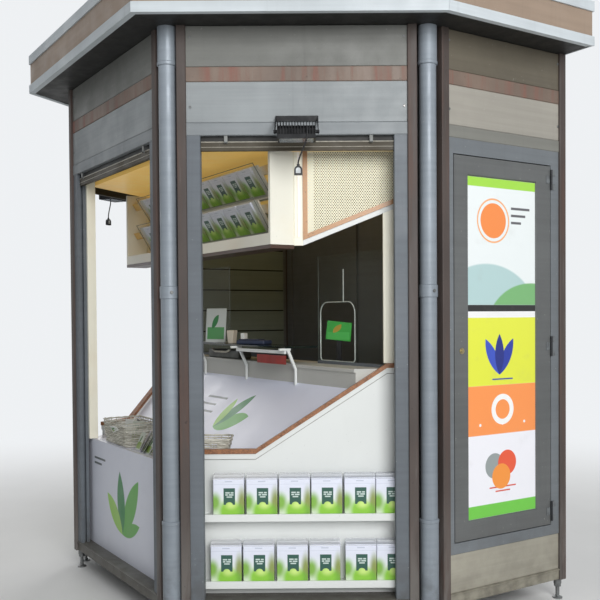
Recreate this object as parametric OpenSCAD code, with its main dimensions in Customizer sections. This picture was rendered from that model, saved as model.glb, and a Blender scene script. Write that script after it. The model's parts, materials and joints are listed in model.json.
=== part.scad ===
// Street kiosk with a main front, two diagonal fronts, two sides and a flat back.
// X runs along the main front, which faces -Y. The origin is under the middle of the plan.

/* [Plan] */
// Width of the main front between its corners
front_w = 1420; // [1150:5:1800]
// Width of each diagonal front between its corners
diag_w = 1225; // [1000:5:1500]
// Angle by which each diagonal turns away from the main front
diag_a = 57; // [50:1:64]
// Length of each side, from the diagonal to the flat back
side_w = 900; // [820:5:1200]
// How far the eaves stand out over the fronts and sides
eave_out = 193; // [120:1:260]
// Clearance at the seams between neighbouring pieces
seam = 0.3; // [0.1:0.1:0.8]

/* [Base] */
// Height of the adjustable feet
foot_h = 105; // [80:1:160]
// Distance of the feet behind the walls' faces
foot_in = 26; // [20:1:34]
// Diameter of a foot's pad
foot_pad_d = 50; // [40:1:52]
// Height of a foot's pad
foot_pad_h = 12; // [8:1:20]
// Diameter of a foot's spindle
foot_rod_d = 20; // [12:1:26]
// Width of a foot's lock nut over its corners
foot_nut_d = 36; // [28:1:44]
// Height of a foot's lock nut
foot_nut_h = 16; // [8:1:20]
// Diameter of the socket that takes a foot's spindle
foot_socket_d = 40; // [30:1:46]
// Height of that socket under the beams
foot_socket_h = 28; // [15:1:40]
// Number of feet along the back between its corners
back_feet = 2; // [1:1:4]
// Height of the base beams
beam_h = 50; // [35:1:90]
// Thickness of the floor
floor_t = 30; // [18:1:34]
// Thickness of the sill on the base beams
sill_t = 6; // [4:1:12]
// How far the sill stands out over the base beams
sill_nose = 8; // [3:1:11]

/* [Heights] */
// Clear height from the sill to the header rail
opening_h = 2147; // [1950:1:2400]
// Height of the header rail over the openings
rail_h = 58; // [40:1:90]
// How far the header rail stands proud
rail_proud = 3; // [1:0.5:6]
// Height of the lower header panel
low_panel_h = 187; // [120:1:260]
// Height of the coloured strip between the header panels
strip_h = 68; // [40:1:110]
// How far the coloured strip stands proud
strip_proud = 2; // [1:0.5:5]
// Height of the upper header panel
up_panel_h = 187; // [120:1:260]
// Thickness of the header panels
panel_t = 25; // [15:1:40]
// Height of the trim along the foot of the fascia
low_trim_h = 44; // [25:1:70]
// Height of the fascia
fascia_h = 123; // [80:1:220]
// Height of the trim along the top of the fascia
top_trim_h = 50; // [30:1:80]

/* [Posts and guides] */
// Width of the end posts
post_w = 44; // [30:1:70]
// How far the end posts stand proud of the panels
post_proud = 12; // [9:1:25]
// Depth of the end posts, from front to back
post_d = 90; // [86:1:100]
// Bevel along the edges of posts, rails and panels
edge = 3; // [1:0.5:5]
// Thickness of the bent plates that close the corners
plate_t = 6; // [3:1:10]
// Width by which those plates lap behind the end posts
plate_lap = 20; // [10:1:40]
// Width of the shutter guides
guide_w = 62; // [45:1:90]
// Depth of the shutter guides
guide_d = 50; // [44:1:58]
// Width of the slot in the shutter guides
slot_w = 14; // [10:1:20]
// Depth of the slot in the shutter guides
slot_d = 22; // [12:1:34]
// Height of the shutter's bottom bar, which stays drawn up under the rail
bar_h = 46; // [30:1:48]
// Thickness of the shutter's bottom bar
bar_t = 10; // [6:1:12]
// Clearance of the bottom bar in the guides
bar_gap = 4; // [2:0.5:8]

/* [Roof] */
// Thickness of the sheet trims and fascia
sheet_t = 4; // [2:0.5:8]
// How far the fascia is set back behind its trims
fascia_back = 8; // [4:1:20]
// Width of the lip that the lower trim turns under the soffit
trim_lip = 30; // [15:1:60]
// Thickness of the lower trim's lip
lip_t = 3; // [1:0.5:6]
// Thickness of the soffit boards
soffit_t = 10; // [6:1:20]
// How far the soffit boards reach in behind the walls' faces
soffit_in = 70; // [40:1:90]
// Thickness of the roof deck
deck_t = 14; // [8:1:25]
// How far the roof deck lies below the upper trim's edge
deck_down = 10; // [5:1:20]
// Thickness of the ceiling
ceiling_t = 22; // [10:1:30]
// How far the ceiling's underside hangs below the header rails
ceiling_down = 50; // [49:1:90]
// Distance of the ceiling's edge behind the open fronts
ceiling_in = 125; // [110:1:150]
// Gap at the mitres of the roof pieces
mitre_gap = 1; // [0.5:0.5:4]

/* [Downpipes] */
// Diameter of the downpipes
pipe_d = 80; // [60:1:86]
// Diameter of the wider upper and lower pipe lengths
socket_d = 88; // [84:1:90]
// Distance of the pipes' axis inside the corner
pipe_in = 32; // [26:1:44]
// Length of the wide upper length under the soffit
spout_h = 178; // [100:1:260]
// Diameter of the beads on the pipe joints
bead_d = 92; // [90:1:98]
// Clearance between the beads and the end posts
pipe_gap = 0.7; // [0.3:0.1:6]
// Height of the beads on the pipe joints
bead_h = 18; // [10:1:30]
// Height of the pipe's middle collar
collar_z = 1560; // [1200:5:1900]
// Length of the pipe's middle collar
collar_h = 60; // [30:1:90]
// Height at which the lower, wider length begins
shoe_z = 530; // [300:5:800]
// Height of the pipe's open lower end over the ground
pipe_end_z = 40; // [20:1:80]
// Depth to which the pipe's lower mouth is open
mouth_h = 60; // [30:1:100]

/* [Side door] */
// Width of the side frame beside the leaf's free edge
leaf_left = 36; // [20:1:80]
// Width of the side frame beside the leaf's hinges
leaf_right = 62; // [40:1:90]
// Thickness of the leaf
leaf_t = 40; // [30:1:46]
// Height of the leaf's lower edge over the sill
leaf_up = 241; // [200:1:400]
// Height of the frame between the leaf and the header rail
leaf_head = 78; // [50:1:150]
// Width of the leaf's stiles and rails
stile_w = 92; // [60:1:130]
// Width of the leaf's stile beside the hinges
hinge_stile_w = 102; // [60:1:130]
// Width of the bevel round the leaf's panel
stile_bevel = 6; // [3:1:24]
// Clearance round the leaf
leaf_gap = 5; // [5:0.5:8]
// Width by which the frame's stop laps behind the leaf
stop_lap = 10; // [6:1:20]
// Clearance between the leaf and its stop
stop_gap = 5; // [4:0.5:7]
// How far the leaf's panel is set back
panel_back = 8; // [4:1:20]
// Thickness of the door board
board_t = 6; // [4:1:10]
// Height of the frame's bottom rail under the leaf
frame_rail_h = 51; // [30:1:90]
// How far the lower side panel is set back
low_side_back = 4; // [0:1:10]
// Thickness of the lower side panel
low_side_t = 20; // [12:1:30]
// Diameter of the hinge knuckles
knuckle_d = 12; // [10:0.5:12.5]
// Length of each fixed hinge knuckle
knuckle_h = 30; // [20:1:35]
// Diameter of the hinge pins
pin_d = 6; // [4:0.5:7]
// Clearance of the hinge pins and knuckles
pin_gap = 0.8; // [0.5:0.1:1.2]
// Height of a hinge
hinge_h = 100; // [80:1:120]
// Width of a hinge's leaves
hinge_w = 30; // [20:1:34]
// Thickness of a hinge's leaves
hinge_t = 3; // [2:0.5:4]
// Distance from the leaf's upper and lower edges to a hinge
hinge_end = 18; // [10:1:60]
// Distance of the lock below the leaf's middle
lock_down = 9; // [0:1:60]
// Diameter of the lock's rose
lock_d = 30; // [24:1:40]
// Thickness of the lock's rose
lock_t = 3; // [2:0.5:5]
// Diameter of the lock's cylinder
lock_core_d = 17; // [12:1:22]
// Bevel round the lock's rose
lock_bevel = 1; // [0.5:0.5:2]
// How far the lock's cylinder stands out
lock_core_t = 9; // [6:1:12]

/* [Side and back walls] */
// Distance of the fixed panels behind the walls' faces
fixed_back = 8; // [4:1:12]
// Thickness of the fixed panels
fixed_t = 24; // [12:1:30]
// Number of bays in the back wall
back_bays = 3; // [2:1:5]
// Width of the back wall's mullions
mullion_w = 60; // [40:1:90]
// Height of the slatted board's lower edge over the worktop
slat_up = 0; // [0:5:200]
// Thickness of the slatted board on the left side
slat_t = 16; // [10:1:22]
// Pitch of the slatted board's grooves
slat_pitch = 152; // [80:1:200]
// Height of the first groove over the board's lower edge
slat_first = 142; // [60:1:180]
// Height of a groove
slat_groove_h = 9; // [4:1:14]
// Depth of a groove
slat_groove_d = 6; // [3:1:8]

/* [Counter] */
// Distance of the counter's front behind the main front
counter_y = 70; // [66:1:84]
// Thickness of the counter's boards
counter_t = 18; // [12:1:24]
// Height of the counter's shelf over the sill
shelf_up = 609; // [500:1:700]
// Depth at which the slanted display board begins
slant_y = 370; // [340:5:450]
// Depth at which the slanted display board ends
riser_y = 820; // [780:5:880]
// Height of the slanted board's upper edge over the shelf
slant_h = 355; // [280:1:420]
// Height of the riser between the slanted board and the worktop
riser_h = 98; // [60:1:140]
// Height by which the riser reaches down behind the slanted board
riser_lap = 40; // [25:1:60]
// Depth of the worktop behind the riser
worktop_d = 240; // [190:5:320]
// How far the worktop's edge stands out over the riser
worktop_nose = 6; // [2:1:12]
// Distance of the inner partition behind the diagonal fronts
inner_d = 130; // [115:1:170]
// Height of the cheeks' low edge over the counter's shelf
cheek_up = 54; // [30:1:90]
// Height of the cheeks' high edge over the worktop
cheek_top_up = 6; // [0:1:30]
// Distance from the end posts to the cheeks' ends
cheek_in = 20; // [10:1:40]
// Length of a cheek's low level edge
cheek_low_w = 276; // [200:1:340]
// Length of a cheek's high level edge
cheek_high_w = 69; // [50:1:120]
// Thickness of the wood trim on the cheeks
wood_t = 22; // [12:1:32]
// How far the wood trim stands out over the cheeks
wood_lap = 12; // [6:1:20]
// Height of the white edging under the wood trim
edging_h = 25; // [15:1:40]
// Thickness of that edging
edging_t = 7; // [3:1:10]
// Thickness of the shelves on the cheeks
cheek_shelf_t = 24; // [15:1:35]
// Height of the lower cheek shelf's underside over the sill
shelf1_up = 38; // [25:1:80]
// Height of the upper cheek shelf's underside over the sill
shelf2_up = 354; // [320:1:420]
// Depth of the cheek shelves
cheek_shelf_d = 76; // [50:1:78]
// Height of the upturned lip along the cheek shelves
shelf_lip_h = 10; // [4:1:20]
// Thickness of that lip
shelf_lip_t = 8; // [4:1:12]
// Width of the posts at the high end of the cheeks
inner_post_w = 84; // [50:1:100]
// Depth of those posts
inner_post_d = 40; // [30:1:60]
// Width of the lining strips behind the main front's guides
lining_w = 40; // [25:1:50]
// Depth to which the lining strips reach
lining_d = 100; // [80:1:110]
// How far the lining strips stand out beside the guides
lining_out = 22; // [10:1:30]

/* [Glass] */
// Thickness of the upright glass screens
glass_t = 6; // [4:1:10]
// Distance of the screens behind the riser
screen_back = 155; // [120:1:180]
// Height of the screens over their channel
screen_h = 560; // [400:5:700]
// Half of the gap between the two screens
screen_gap = 515; // [400:5:600]
// Height of the channel that holds the screens
channel_h = 16; // [10:1:24]
// Width of the channel that holds the screens
channel_w = 20; // [14:1:30]
// Depth of the groove in the channel
channel_groove = 10; // [6:1:14]
// Distance of the serving hole from the screen's inner edge
hole_in = 23; // [15:1:60]
// Width of the serving hole in the right screen
hole_w = 315; // [200:5:400]
// Height of the serving hole
hole_h = 311; // [200:1:400]
// Corner radius of the serving hole
hole_r = 60; // [20:1:100]
// Half of the glass shelf's length
shelf_half = 550; // [400:5:600]
// Depth of the glass shelf
shelf_d = 200; // [120:5:240]
// Thickness of the glass shelf
shelf_glass_t = 8; // [5:1:12]
// Height of the glass shelf's underside over the worktop
shelf_over = 86; // [60:1:140]
// How far the glass shelf's front edge stands out over the riser
shelf_out = 80; // [50:1:110]
// Spacing of the shelf's brackets
arm_step = 540; // [400:5:545]
// Width of the shelf's brackets
arm_w = 14; // [8:1:24]
// Thickness of the brackets' flat bar
arm_t = 12; // [8:1:18]
// How far the brackets reach past the glass shelf's front edge
arm_tip = 33; // [10:1:50]
// Height of the rail between two brackets
shelf_rail_h = 18; // [10:1:30]

/* [Overhead display] */
// Distance of the overhead display's face behind the main front
over_y = 440; // [400:5:500]
// Clearance of its front corners behind the diagonals' faces
over_clear = 63; // [60:1:110]
// Height of the overhead display below the ceiling
over_h = 443; // [420:1:520]
// Height of the white rail along the overhead display
over_rail_h = 53; // [30:1:80]
// Height of the brown strip under the overhead display
over_strip_h = 18; // [12:1:40]
// Depth of the overhead display
over_d = 130; // [115:5:160]
// Height from the display's underside to the lower tray
tray_up = 65; // [55:1:90]
// Height of the lower tray's leaning front
tray_h = 158; // [120:1:170]
// Height from the foot of the lower tray to the foot of the upper tray
tray_step = 184; // [180:1:230]
// Height of the upper tray's leaning front
tray2_h = 145; // [120:1:150]
// How far the trays' fronts lean forward
tray_lean = 96; // [60:1:110]
// Thickness of the trays' boards
tray_t = 8; // [5:1:12]
// Height from a tray's foot to the bar that carries it
tray_bar_up = 100; // [70:1:100]
// Height of that bar
tray_bar_h = 36; // [20:1:40]
// Depth of that bar
tray_bar_d = 16; // [10:1:24]
// Clear depth of the trays
tray_d = 20; // [14:1:22]
// Thickness of the trays' glass
tray_glass_t = 4; // [3:1:6]
// Half of the length of the trays' glass
tray_half = 750; // [600:5:800]
// Thickness of the perforated boards
perf_t = 12; // [6:1:16]
// Height of the perforated boards' low corner over the display's underside
perf_up = 23; // [5:1:60]
// Height by which their lower edge climbs
perf_rise = 183; // [100:1:220]
// Width of the strip between the display and the perforated boards
perf_strip_w = 42; // [30:1:60]

/* [Floodlights] */
// Length of a floodlight
lamp_w = 170; // [120:5:220]
// Distance of a floodlight's inner edge from the wall
lamp_out = 80; // [50:1:85]
// Depth of a floodlight from its inner to its outer edge
lamp_d = 106; // [80:1:108]
// Height of a floodlight
lamp_h = 78; // [60:1:90]
// Distance of a floodlight's glass below the header rail's foot
lamp_down = 52; // [40:1:70]
// Height of the frame round a floodlight's glass
lamp_rim_h = 18; // [10:1:25]
// Width of the frame round a floodlight's glass
lamp_rim_w = 10; // [6:1:16]
// Thickness of a floodlight's glass
lamp_glass_t = 5; // [3:1:8]
// Number of cooling fins
fin_count = 14; // [8:1:18]
// Thickness of a cooling fin
fin_t = 3; // [2:0.5:5]
// How far the fins stand out over the housing
fin_out = 16; // [8:1:22]
// Thickness of a floodlight's bracket
lamp_arm_t = 4; // [3:0.5:6]
// Width of a floodlight's bracket
lamp_arm_w = 24; // [16:1:30]
// Gap between a floodlight and its bracket's arms
lamp_arm_gap = 9; // [6:1:14]
// Height of the bracket's web on the header panel
lamp_web_h = 26; // [16:1:34]
// Diameter of a floodlight's pivot bolts
lamp_bolt_d = 16; // [10:1:20]
// Diameter of a floodlight's lead
lead_d = 7; // [6:0.5:8]
// Wall of the gland and of the connector's neck round a lead
lead_grip = 3; // [2:0.5:5]
// Length of the tapered gland that a lead leaves by
gland_l = 20; // [16:1:26]
// Width of a lead's connector
plug_w = 36; // [30:1:42]
// Height of a lead's connector
plug_h = 40; // [36:1:50]
// Height of the neck over a lead's connector
plug_neck_h = 8; // [5:1:14]
// Depth of the recesses in a lead's connector
plug_recess = 3; // [1:0.5:5]
// Thickness of a lead's connector
plug_t = 18; // [14:1:24]

/* [Baskets] */
// Length of the long basket
basket1_l = 340; // [250:5:380]
// Width of the long basket
basket1_w = 206; // [150:2:220]
// Height of the long basket
basket1_h = 135; // [90:1:150]
// Distance of the long basket left of the middle
basket1_x = 210; // [190:5:260]
// Length of the short basket
basket2_l = 180; // [150:5:190]
// Width of the short basket
basket2_w = 130; // [110:5:135]
// Height of the short basket
basket2_h = 110; // [80:1:140]
// Distance of the short basket along the diagonal
basket2_s = 133; // [125:1:140]
// Clearance between the short basket and the cheek
basket2_gap = 7; // [2:1:8]
// How far the baskets flare out to each side
basket_flare = 10; // [4:1:16]
// Thickness of the baskets' walls
basket_t = 8; // [5:1:12]
// Width of the baskets' handle holes
handle_w = 70; // [50:1:90]
// Height of the baskets' handle holes
handle_h = 22; // [16:1:28]
// Distance of the handle holes below the rim
handle_down = 22; // [16:1:30]

/* [Hidden] */
$fn = 48;
FRONT = 0;
RIGHT_DIAGONAL = 1;
RIGHT_SIDE = 2;
BACK = 3;
LEFT_SIDE = 4;
LEFT_DIAGONAL = 5;
OPEN_FRONTS = [FRONT, RIGHT_DIAGONAL, LEFT_DIAGONAL];
SIDES = [RIGHT_SIDE, LEFT_SIDE];
WALLS = [FRONT, RIGHT_DIAGONAL, RIGHT_SIDE, BACK, LEFT_SIDE, LEFT_DIAGONAL];

// Keeps shared places to a hundredth of a millimetre, so that neighbours agree on them.
function fine(v) = round(v * 100) / 100;

// The end posts leave room for a downpipe at each corner.
post_inset = fine(pipe_in * sin(diag_a / 2) + bead_d / 2 + pipe_gap);

half_w = fine(front_w / 2 + diag_w * cos(diag_a));
diag_y = fine(diag_w * sin(diag_a));
body_y = diag_y + side_w;
centre_y = fine((body_y - eave_out) / 2);

CORNERS = [
    [-front_w / 2, 0], [front_w / 2, 0], [half_w, diag_y],
    [half_w, body_y], [-half_w, body_y], [-half_w, diag_y]
];
TURNS = [0, diag_a, 90, 180, 270, 360 - diag_a];
WIDTHS = [front_w, diag_w, side_w, 2 * half_w, side_w, diag_w];

beam_top = foot_h + beam_h;
sill_z = beam_top + sill_t;
open_z = sill_z + opening_h;
rail_z = open_z + rail_h;
ceiling_z = open_z - ceiling_down;
strip_z = rail_z + low_panel_h;
strip_top = strip_z + strip_h;
soffit_z = strip_top + up_panel_h;
fascia_z = soffit_z + low_trim_h;
fascia_top = fascia_z + fascia_h;
top_z = fascia_top + top_trim_h;
spout_z = soffit_z - spout_h;

// Depths behind the walls' faces.
post_back = post_d - post_proud;
lining_back = post_back + plate_t + 3 * seam;

shelf_z = sill_z + shelf_up;
slant_z = shelf_z + slant_h;
worktop_z = slant_z + riser_h;
screen_y = riser_y + screen_back;
channel_top = worktop_z + channel_h;
glass_shelf_z = worktop_z + shelf_over;

leaf_x = bay_start(RIGHT_SIDE) + leaf_left;
leaf_w = bay_end(RIGHT_SIDE) - leaf_right - leaf_x;
leaf_z = sill_z + leaf_up;
leaf_top = open_z - leaf_head;
leaf_mid = (leaf_z + leaf_top) / 2;
axis_x = leaf_x + leaf_w + hinge_t;
axis_y = -knuckle_d / 2;
hinge_feet = [leaf_top - hinge_end - hinge_h, leaf_mid - hinge_h / 2, leaf_z + hinge_end];

cheek_low = shelf_z + cheek_up;
cheek_high = worktop_z + cheek_top_up;
cheek_start = post_inset + post_w + cheek_in;
cheek_end = diag_w - cheek_start;
inner_back = inner_d + counter_t;

over_z = ceiling_z - over_h;
over_half = fine(front_w / 2 + (over_y * cos(diag_a) - over_clear) / sin(diag_a));
over_end = over_y + over_d;
perf_s0 = (over_half - front_w / 2) * cos(diag_a) + over_end * sin(diag_a) + seam;
perf_s1 = perf_s0 + perf_strip_w;
perf_s2 = cheek_end;
post_s = cheek_end - inner_post_w;
perf_low = over_z + perf_up;

// Bays of the back wall and the height of its rail, in line with the side frames.
back_step = (2 * (half_w - post_back - seam) - mullion_w) / back_bays;
side_rail_z = leaf_z - leaf_gap - frame_rail_h;

// Foot height and height of the two trays, and the depth just behind their glass.
TRAYS = [[over_z + tray_up, tray_h], [over_z + tray_up + tray_step, tray2_h]];
tray_foot = over_y + tray_lean + tray_glass_t + seam;

lamp_z = open_z - lamp_down;
lamp_far = lamp_out + lamp_d;
lamp_mid = diag_w / 2;
pivot_out = (lamp_out + lamp_far) / 2;
pivot_z = lamp_z + lamp_h / 2;

// Points of a floodlight's lead, from the gland to the connector, beside the middle of its frame's lower edge.
LEAD_FALL = [
    [48.5, -5, 28], [48.5, -5, 20], [47.7, -4.8, 10], [45.5, -4.4, -2], [41.5, -3.6, -16],
    [35.5, -2.4, -32], [28.5, -1, -48], [21.5, 0.4, -64], [15.5, 1.8, -79], [11, 3, -92],
    [8.5, 3.8, -101], [7.5, 4, -107], [7.5, 4, -113]
];
LEAD = [for (p = LEAD_FALL) p + [lamp_mid, -lamp_far, lamp_z]];
gland_d = lead_d + 2 * lead_grip;

function along(a) = [cos(a), sin(a)];
function outward(a) = [sin(a), -cos(a)];
function prev(i) = (i + 5) % 6;
function next(i) = (i + 1) % 6;

// Where the lines of the walls before and after corner i meet, each moved outwards by its own amount.
function corner_at(i, before, after) =
    let (n1 = outward(TURNS[prev(i)]), n2 = outward(TURNS[i]), c = n1 * n2)
    CORNERS[i] + (before * (n1 - c * n2) + after * (n2 - c * n1)) / (1 - c * c);

// Outline of the whole plan, with each wall moved outwards by its own amount.
function outline(moves) = [for (i = WALLS) corner_at(i, moves[prev(i)], moves[i])];

// The same move for every wall but the back.
function moves(other, back) = [for (i = WALLS) i == BACK ? back : other];

// Distance from each end of wall i to the outer edge of its end post.
function left_inset(i) = i == LEFT_SIDE ? 0 : post_inset;
function right_inset(i) = i == RIGHT_SIDE ? 0 : post_inset;
function bay_start(i) = i == BACK ? post_back + seam : left_inset(i) + post_w;
function bay_end(i) = WIDTHS[i] - (i == BACK ? post_back + seam : right_inset(i) + post_w);

// Puts children in the frame of wall i: X along it, Y inwards, seen from outside.
module on_wall(i) {
    translate([CORNERS[i][0], CORNERS[i][1] - centre_y, 0])
        rotate([0, 0, TURNS[i]])
            children();
}

// Puts children in the plan's own frame, with the main front at Y = 0.
module in_plan() {
    translate([0, -centre_y, 0])
        children();
}

module mirrored() {
    children();
    mirror([1, 0, 0])
        children();
}

module on_both(i) {
    mirrored()
        on_wall(i)
            children();
}

module slab(x0, x1, y0, y1, z0, z1) {
    translate([x0, y0, z0])
        cube([x1 - x0, y1 - y0, z1 - z0]);
}

// Runs a profile drawn in depth and height along X.
module run(x0, x1) {
    translate([x0, 0, 0])
        rotate([90, 0, 90])
            linear_extrude(x1 - x0)
                children();
}

// Stands an outline drawn in X and height upright, with its front at depth y0.
module upright(y0, t) {
    translate([0, y0 + t, 0])
        rotate([90, 0, 0])
            linear_extrude(t)
                children();
}

// Section of a member with bevelled front edges.
module bevelled(y0, y1, z0, z1) {
    polygon([
        [y0, z0 + edge], [y0 + edge, z0], [y1, z0],
        [y1, z1], [y0 + edge, z1], [y0, z1 - edge]
    ]);
}

// One side of a band round the plan, between two lists of moves.
module band_side(i, outer, inner) {
    g = along(TURNS[i]) * mitre_gap / 2;
    polygon([
        corner_at(i, inner[prev(i)], inner[i]) + g,
        corner_at(i, outer[prev(i)], outer[i]) + g,
        corner_at(next(i), outer[i], outer[next(i)]) - g,
        corner_at(next(i), inner[i], inner[next(i)]) - g
    ]);
}

module band(outer, inner, z0, z1, walls = WALLS) {
    in_plan()
        for (i = walls)
            translate([0, 0, z0])
                linear_extrude(z1 - z0)
                    band_side(i, outer, inner);
}

// Adjustable foot: pad, spindle, lock nut and the socket under the beams.
module foot() {
    rotate_extrude()
        polygon([
            [0, 0], [foot_pad_d / 2, 0], [foot_pad_d / 2, foot_pad_h / 2],
            [foot_rod_d / 2 + edge, foot_pad_h], [foot_rod_d / 2, foot_pad_h + edge],
            [foot_rod_d / 2, foot_h - foot_socket_h], [foot_socket_d / 2, foot_h - foot_socket_h],
            [foot_socket_d / 2, foot_h - seam], [0, foot_h - seam]
        ]);
    translate([0, 0, foot_h - foot_socket_h - foot_nut_h])
        cylinder(d = foot_nut_d, h = foot_nut_h, $fn = 6);
}

module feet() {
    color("dimgray") {
        for (i = concat(OPEN_FRONTS, SIDES))
            on_wall(i)
                for (x = [left_inset(i) + post_w / 2 + edge, WIDTHS[i] - right_inset(i) - post_w / 2 - edge])
                    translate([x, foot_in, 0])
                        foot();
        on_wall(BACK)
            for (k = [1 : back_feet])
                translate([WIDTHS[BACK] * k / (back_feet + 1), foot_in, 0])
                    foot();
    }
}

// The back beam runs between the side beams.
function beam_start(i) = i == BACK ? lining_back : bay_start(i);
function beam_end(i) = i == BACK ? WIDTHS[i] - lining_back : bay_end(i);

module base_beams() {
    color("slategray")
        for (i = WALLS)
            on_wall(i)
                run(beam_start(i), beam_end(i))
                    bevelled(0, lining_back - seam, foot_h, beam_top);
}

// Sills with a sloped nose over the beams. The back has none standing out.
module sills() {
    color("gray")
        for (i = WALLS)
            on_wall(i)
                run(bay_start(i), bay_end(i))
                    polygon([
                        [i == BACK ? 0 : -sill_nose, beam_top], [counter_y - seam, beam_top],
                        [counter_y - seam, sill_z], [0, sill_z],
                        [i == BACK ? 0 : -sill_nose, sill_z - sill_t / 2]
                    ]);
}

module floor_plate() {
    color("dimgray")
        in_plan()
            translate([0, 0, beam_top - floor_t])
                linear_extrude(floor_t - seam)
                    polygon(outline(moves(-lining_back, -lining_back)));
}

// Bent plate that closes the corner behind the pipe, from post to post.
module corner_plate(i) {
    d0 = post_back + seam;
    d1 = d0 + plate_t;
    a = along(TURNS[prev(i)]) * (post_inset + plate_lap);
    b = along(TURNS[i]) * (post_inset + plate_lap);
    na = outward(TURNS[prev(i)]);
    nb = outward(TURNS[i]);
    polygon([
        CORNERS[i] - a - na * d0, corner_at(i, -d0, -d0), CORNERS[i] + b - nb * d0,
        CORNERS[i] + b - nb * d1, corner_at(i, -d1, -d1), CORNERS[i] - a - na * d1
    ]);
}

module corner_backs() {
    color("dimgray")
        in_plan()
            for (i = [FRONT, RIGHT_DIAGONAL, RIGHT_SIDE, LEFT_DIAGONAL])
                translate([0, 0, foot_h])
                    linear_extrude(soffit_z - foot_h)
                        corner_plate(i);
}

module post(h) {
    linear_extrude(h)
        polygon([
            [0, post_back], [0, edge - post_proud], [edge, -post_proud],
            [post_w - edge, -post_proud], [post_w, edge - post_proud], [post_w, post_back]
        ]);
}

module end_posts() {
    color("saddlebrown")
        for (i = concat(OPEN_FRONTS, SIDES))
            on_wall(i)
                for (x = [left_inset(i), WIDTHS[i] - right_inset(i) - post_w])
                    translate([x, 0, foot_h])
                        post(soffit_z - foot_h);
}

// Guide with its slot open towards the bay and a step behind the end post.
module guide() {
    y0 = (guide_d - slot_w) / 2;
    linear_extrude(open_z - sill_z)
        polygon([
            [0, 0], [guide_w - edge, 0], [guide_w, edge], [guide_w, y0], [guide_w - slot_d, y0],
            [guide_w - slot_d, y0 + slot_w], [guide_w, y0 + slot_w], [guide_w, guide_d], [0, guide_d]
        ]);
}

module shutter_guides() {
    color("slategray")
        for (i = OPEN_FRONTS)
            on_wall(i) {
                translate([bay_start(i), 0, sill_z])
                    guide();
                translate([bay_end(i), 0, sill_z])
                    mirror([1, 0, 0])
                        guide();
            }
}

module header_rails() {
    color("slategray")
        for (i = WALLS)
            on_wall(i)
                run(bay_start(i), bay_end(i))
                    bevelled(i == BACK ? 0 : -rail_proud, post_back, open_z, rail_z);
}

module header_panel(z0, z1, proud) {
    for (i = WALLS)
        on_wall(i)
            run(bay_start(i), bay_end(i))
                bevelled(i == BACK ? 0 : -proud, panel_t, z0, z1);
}

module header_lower_panels() {
    color("darkgray")
        header_panel(rail_z, strip_z, 0);
}

module header_strips() {
    color("rosybrown")
        header_panel(strip_z, strip_top, strip_proud);
}

module header_upper_panels() {
    color("darkgray")
        header_panel(strip_top, soffit_z, 0);
}

// Bottom bars of the drawn-up shutters, with a thicker foot, running in the guides' slots.
module shutter_bars() {
    reach = guide_w - slot_d + bar_gap;
    y0 = (guide_d - bar_t) / 2;
    color("dimgray")
        for (i = OPEN_FRONTS)
            on_wall(i)
                run(bay_start(i) + reach, bay_end(i) - reach)
                    polygon([
                        [y0, open_z - bar_h], [y0 + bar_t, open_z - bar_h],
                        [y0 + bar_t, open_z - bar_h * 3 / 4], [y0 + bar_t - edge / 2, open_z - bar_h * 2 / 3],
                        [y0 + bar_t - edge / 2, open_z - seam], [y0 + edge / 2, open_z - seam],
                        [y0 + edge / 2, open_z - bar_h * 2 / 3], [y0, open_z - bar_h * 3 / 4]
                    ]);
}

module soffit() {
    out = eave_out - sheet_t - fascia_back;
    color("dimgray")
        band(moves(out, -sheet_t - fascia_back), moves(-soffit_in, -soffit_in),
             soffit_z + seam, soffit_z + soffit_t);
}

// The lower trim turns a lip under the soffit, except along the flat back.
module eave_lower_trim() {
    outer = moves(eave_out, 0);
    color("gainsboro") {
        for (i = concat(OPEN_FRONTS, SIDES))
            difference() {
                band(outer, moves(eave_out - trim_lip, -trim_lip), soffit_z - lip_t, fascia_z, [i]);
                on_wall(i)
                    slab(-trim_lip - eave_out, WIDTHS[i] + trim_lip + eave_out,
                         sheet_t - eave_out, 0, soffit_z, fascia_top);
            }
        band(outer, moves(eave_out - sheet_t, -sheet_t), soffit_z, fascia_z, [BACK]);
    }
}

module fascia() {
    out = eave_out - fascia_back;
    color("dimgray")
        band(moves(out, -fascia_back), moves(out - sheet_t, -fascia_back - sheet_t),
             soffit_z + soffit_t, fascia_top - seam);
}

module eave_upper_trim() {
    color("gainsboro")
        band(moves(eave_out, 0), moves(eave_out - fascia_back - sheet_t, -fascia_back - sheet_t),
             fascia_top, top_z);
}

module roof_deck() {
    d = fascia_back + sheet_t + seam;
    color("gray")
        in_plan()
            translate([0, 0, top_z - deck_t - deck_down])
                linear_extrude(deck_t)
                    polygon(outline(moves(eave_out - d, -d)));
}

// The ceiling hangs free of the open fronts and reaches the corner plates and the back frame.
module ceiling() {
    back = -guide_d - seam;
    color("beige")
        in_plan()
            translate([0, 0, ceiling_z])
                linear_extrude(ceiling_t)
                    polygon(outline([
                        -ceiling_in, -ceiling_in, -lining_back, back, -lining_back, -ceiling_in
                    ]));
}

module at_pipes() {
    in_plan()
        for (i = [RIGHT_DIAGONAL, RIGHT_SIDE]) {
            m = outward(TURNS[prev(i)]) + outward(TURNS[i]);
            p = CORNERS[i] - m / norm(m) * pipe_in;
            translate([p[0], p[1], 0])
                children();
        }
}

// Wide upper length with a bead round its lower edge.
module pipe_spouts() {
    color("lightslategray")
        at_pipes()
            rotate_extrude()
                polygon([
                    [0, spout_z], [bead_d / 2 - edge, spout_z], [bead_d / 2, spout_z + edge],
                    [bead_d / 2, spout_z + bead_h - edge], [socket_d / 2, spout_z + bead_h],
                    [socket_d / 2, soffit_z], [0, soffit_z]
                ]);
}

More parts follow.
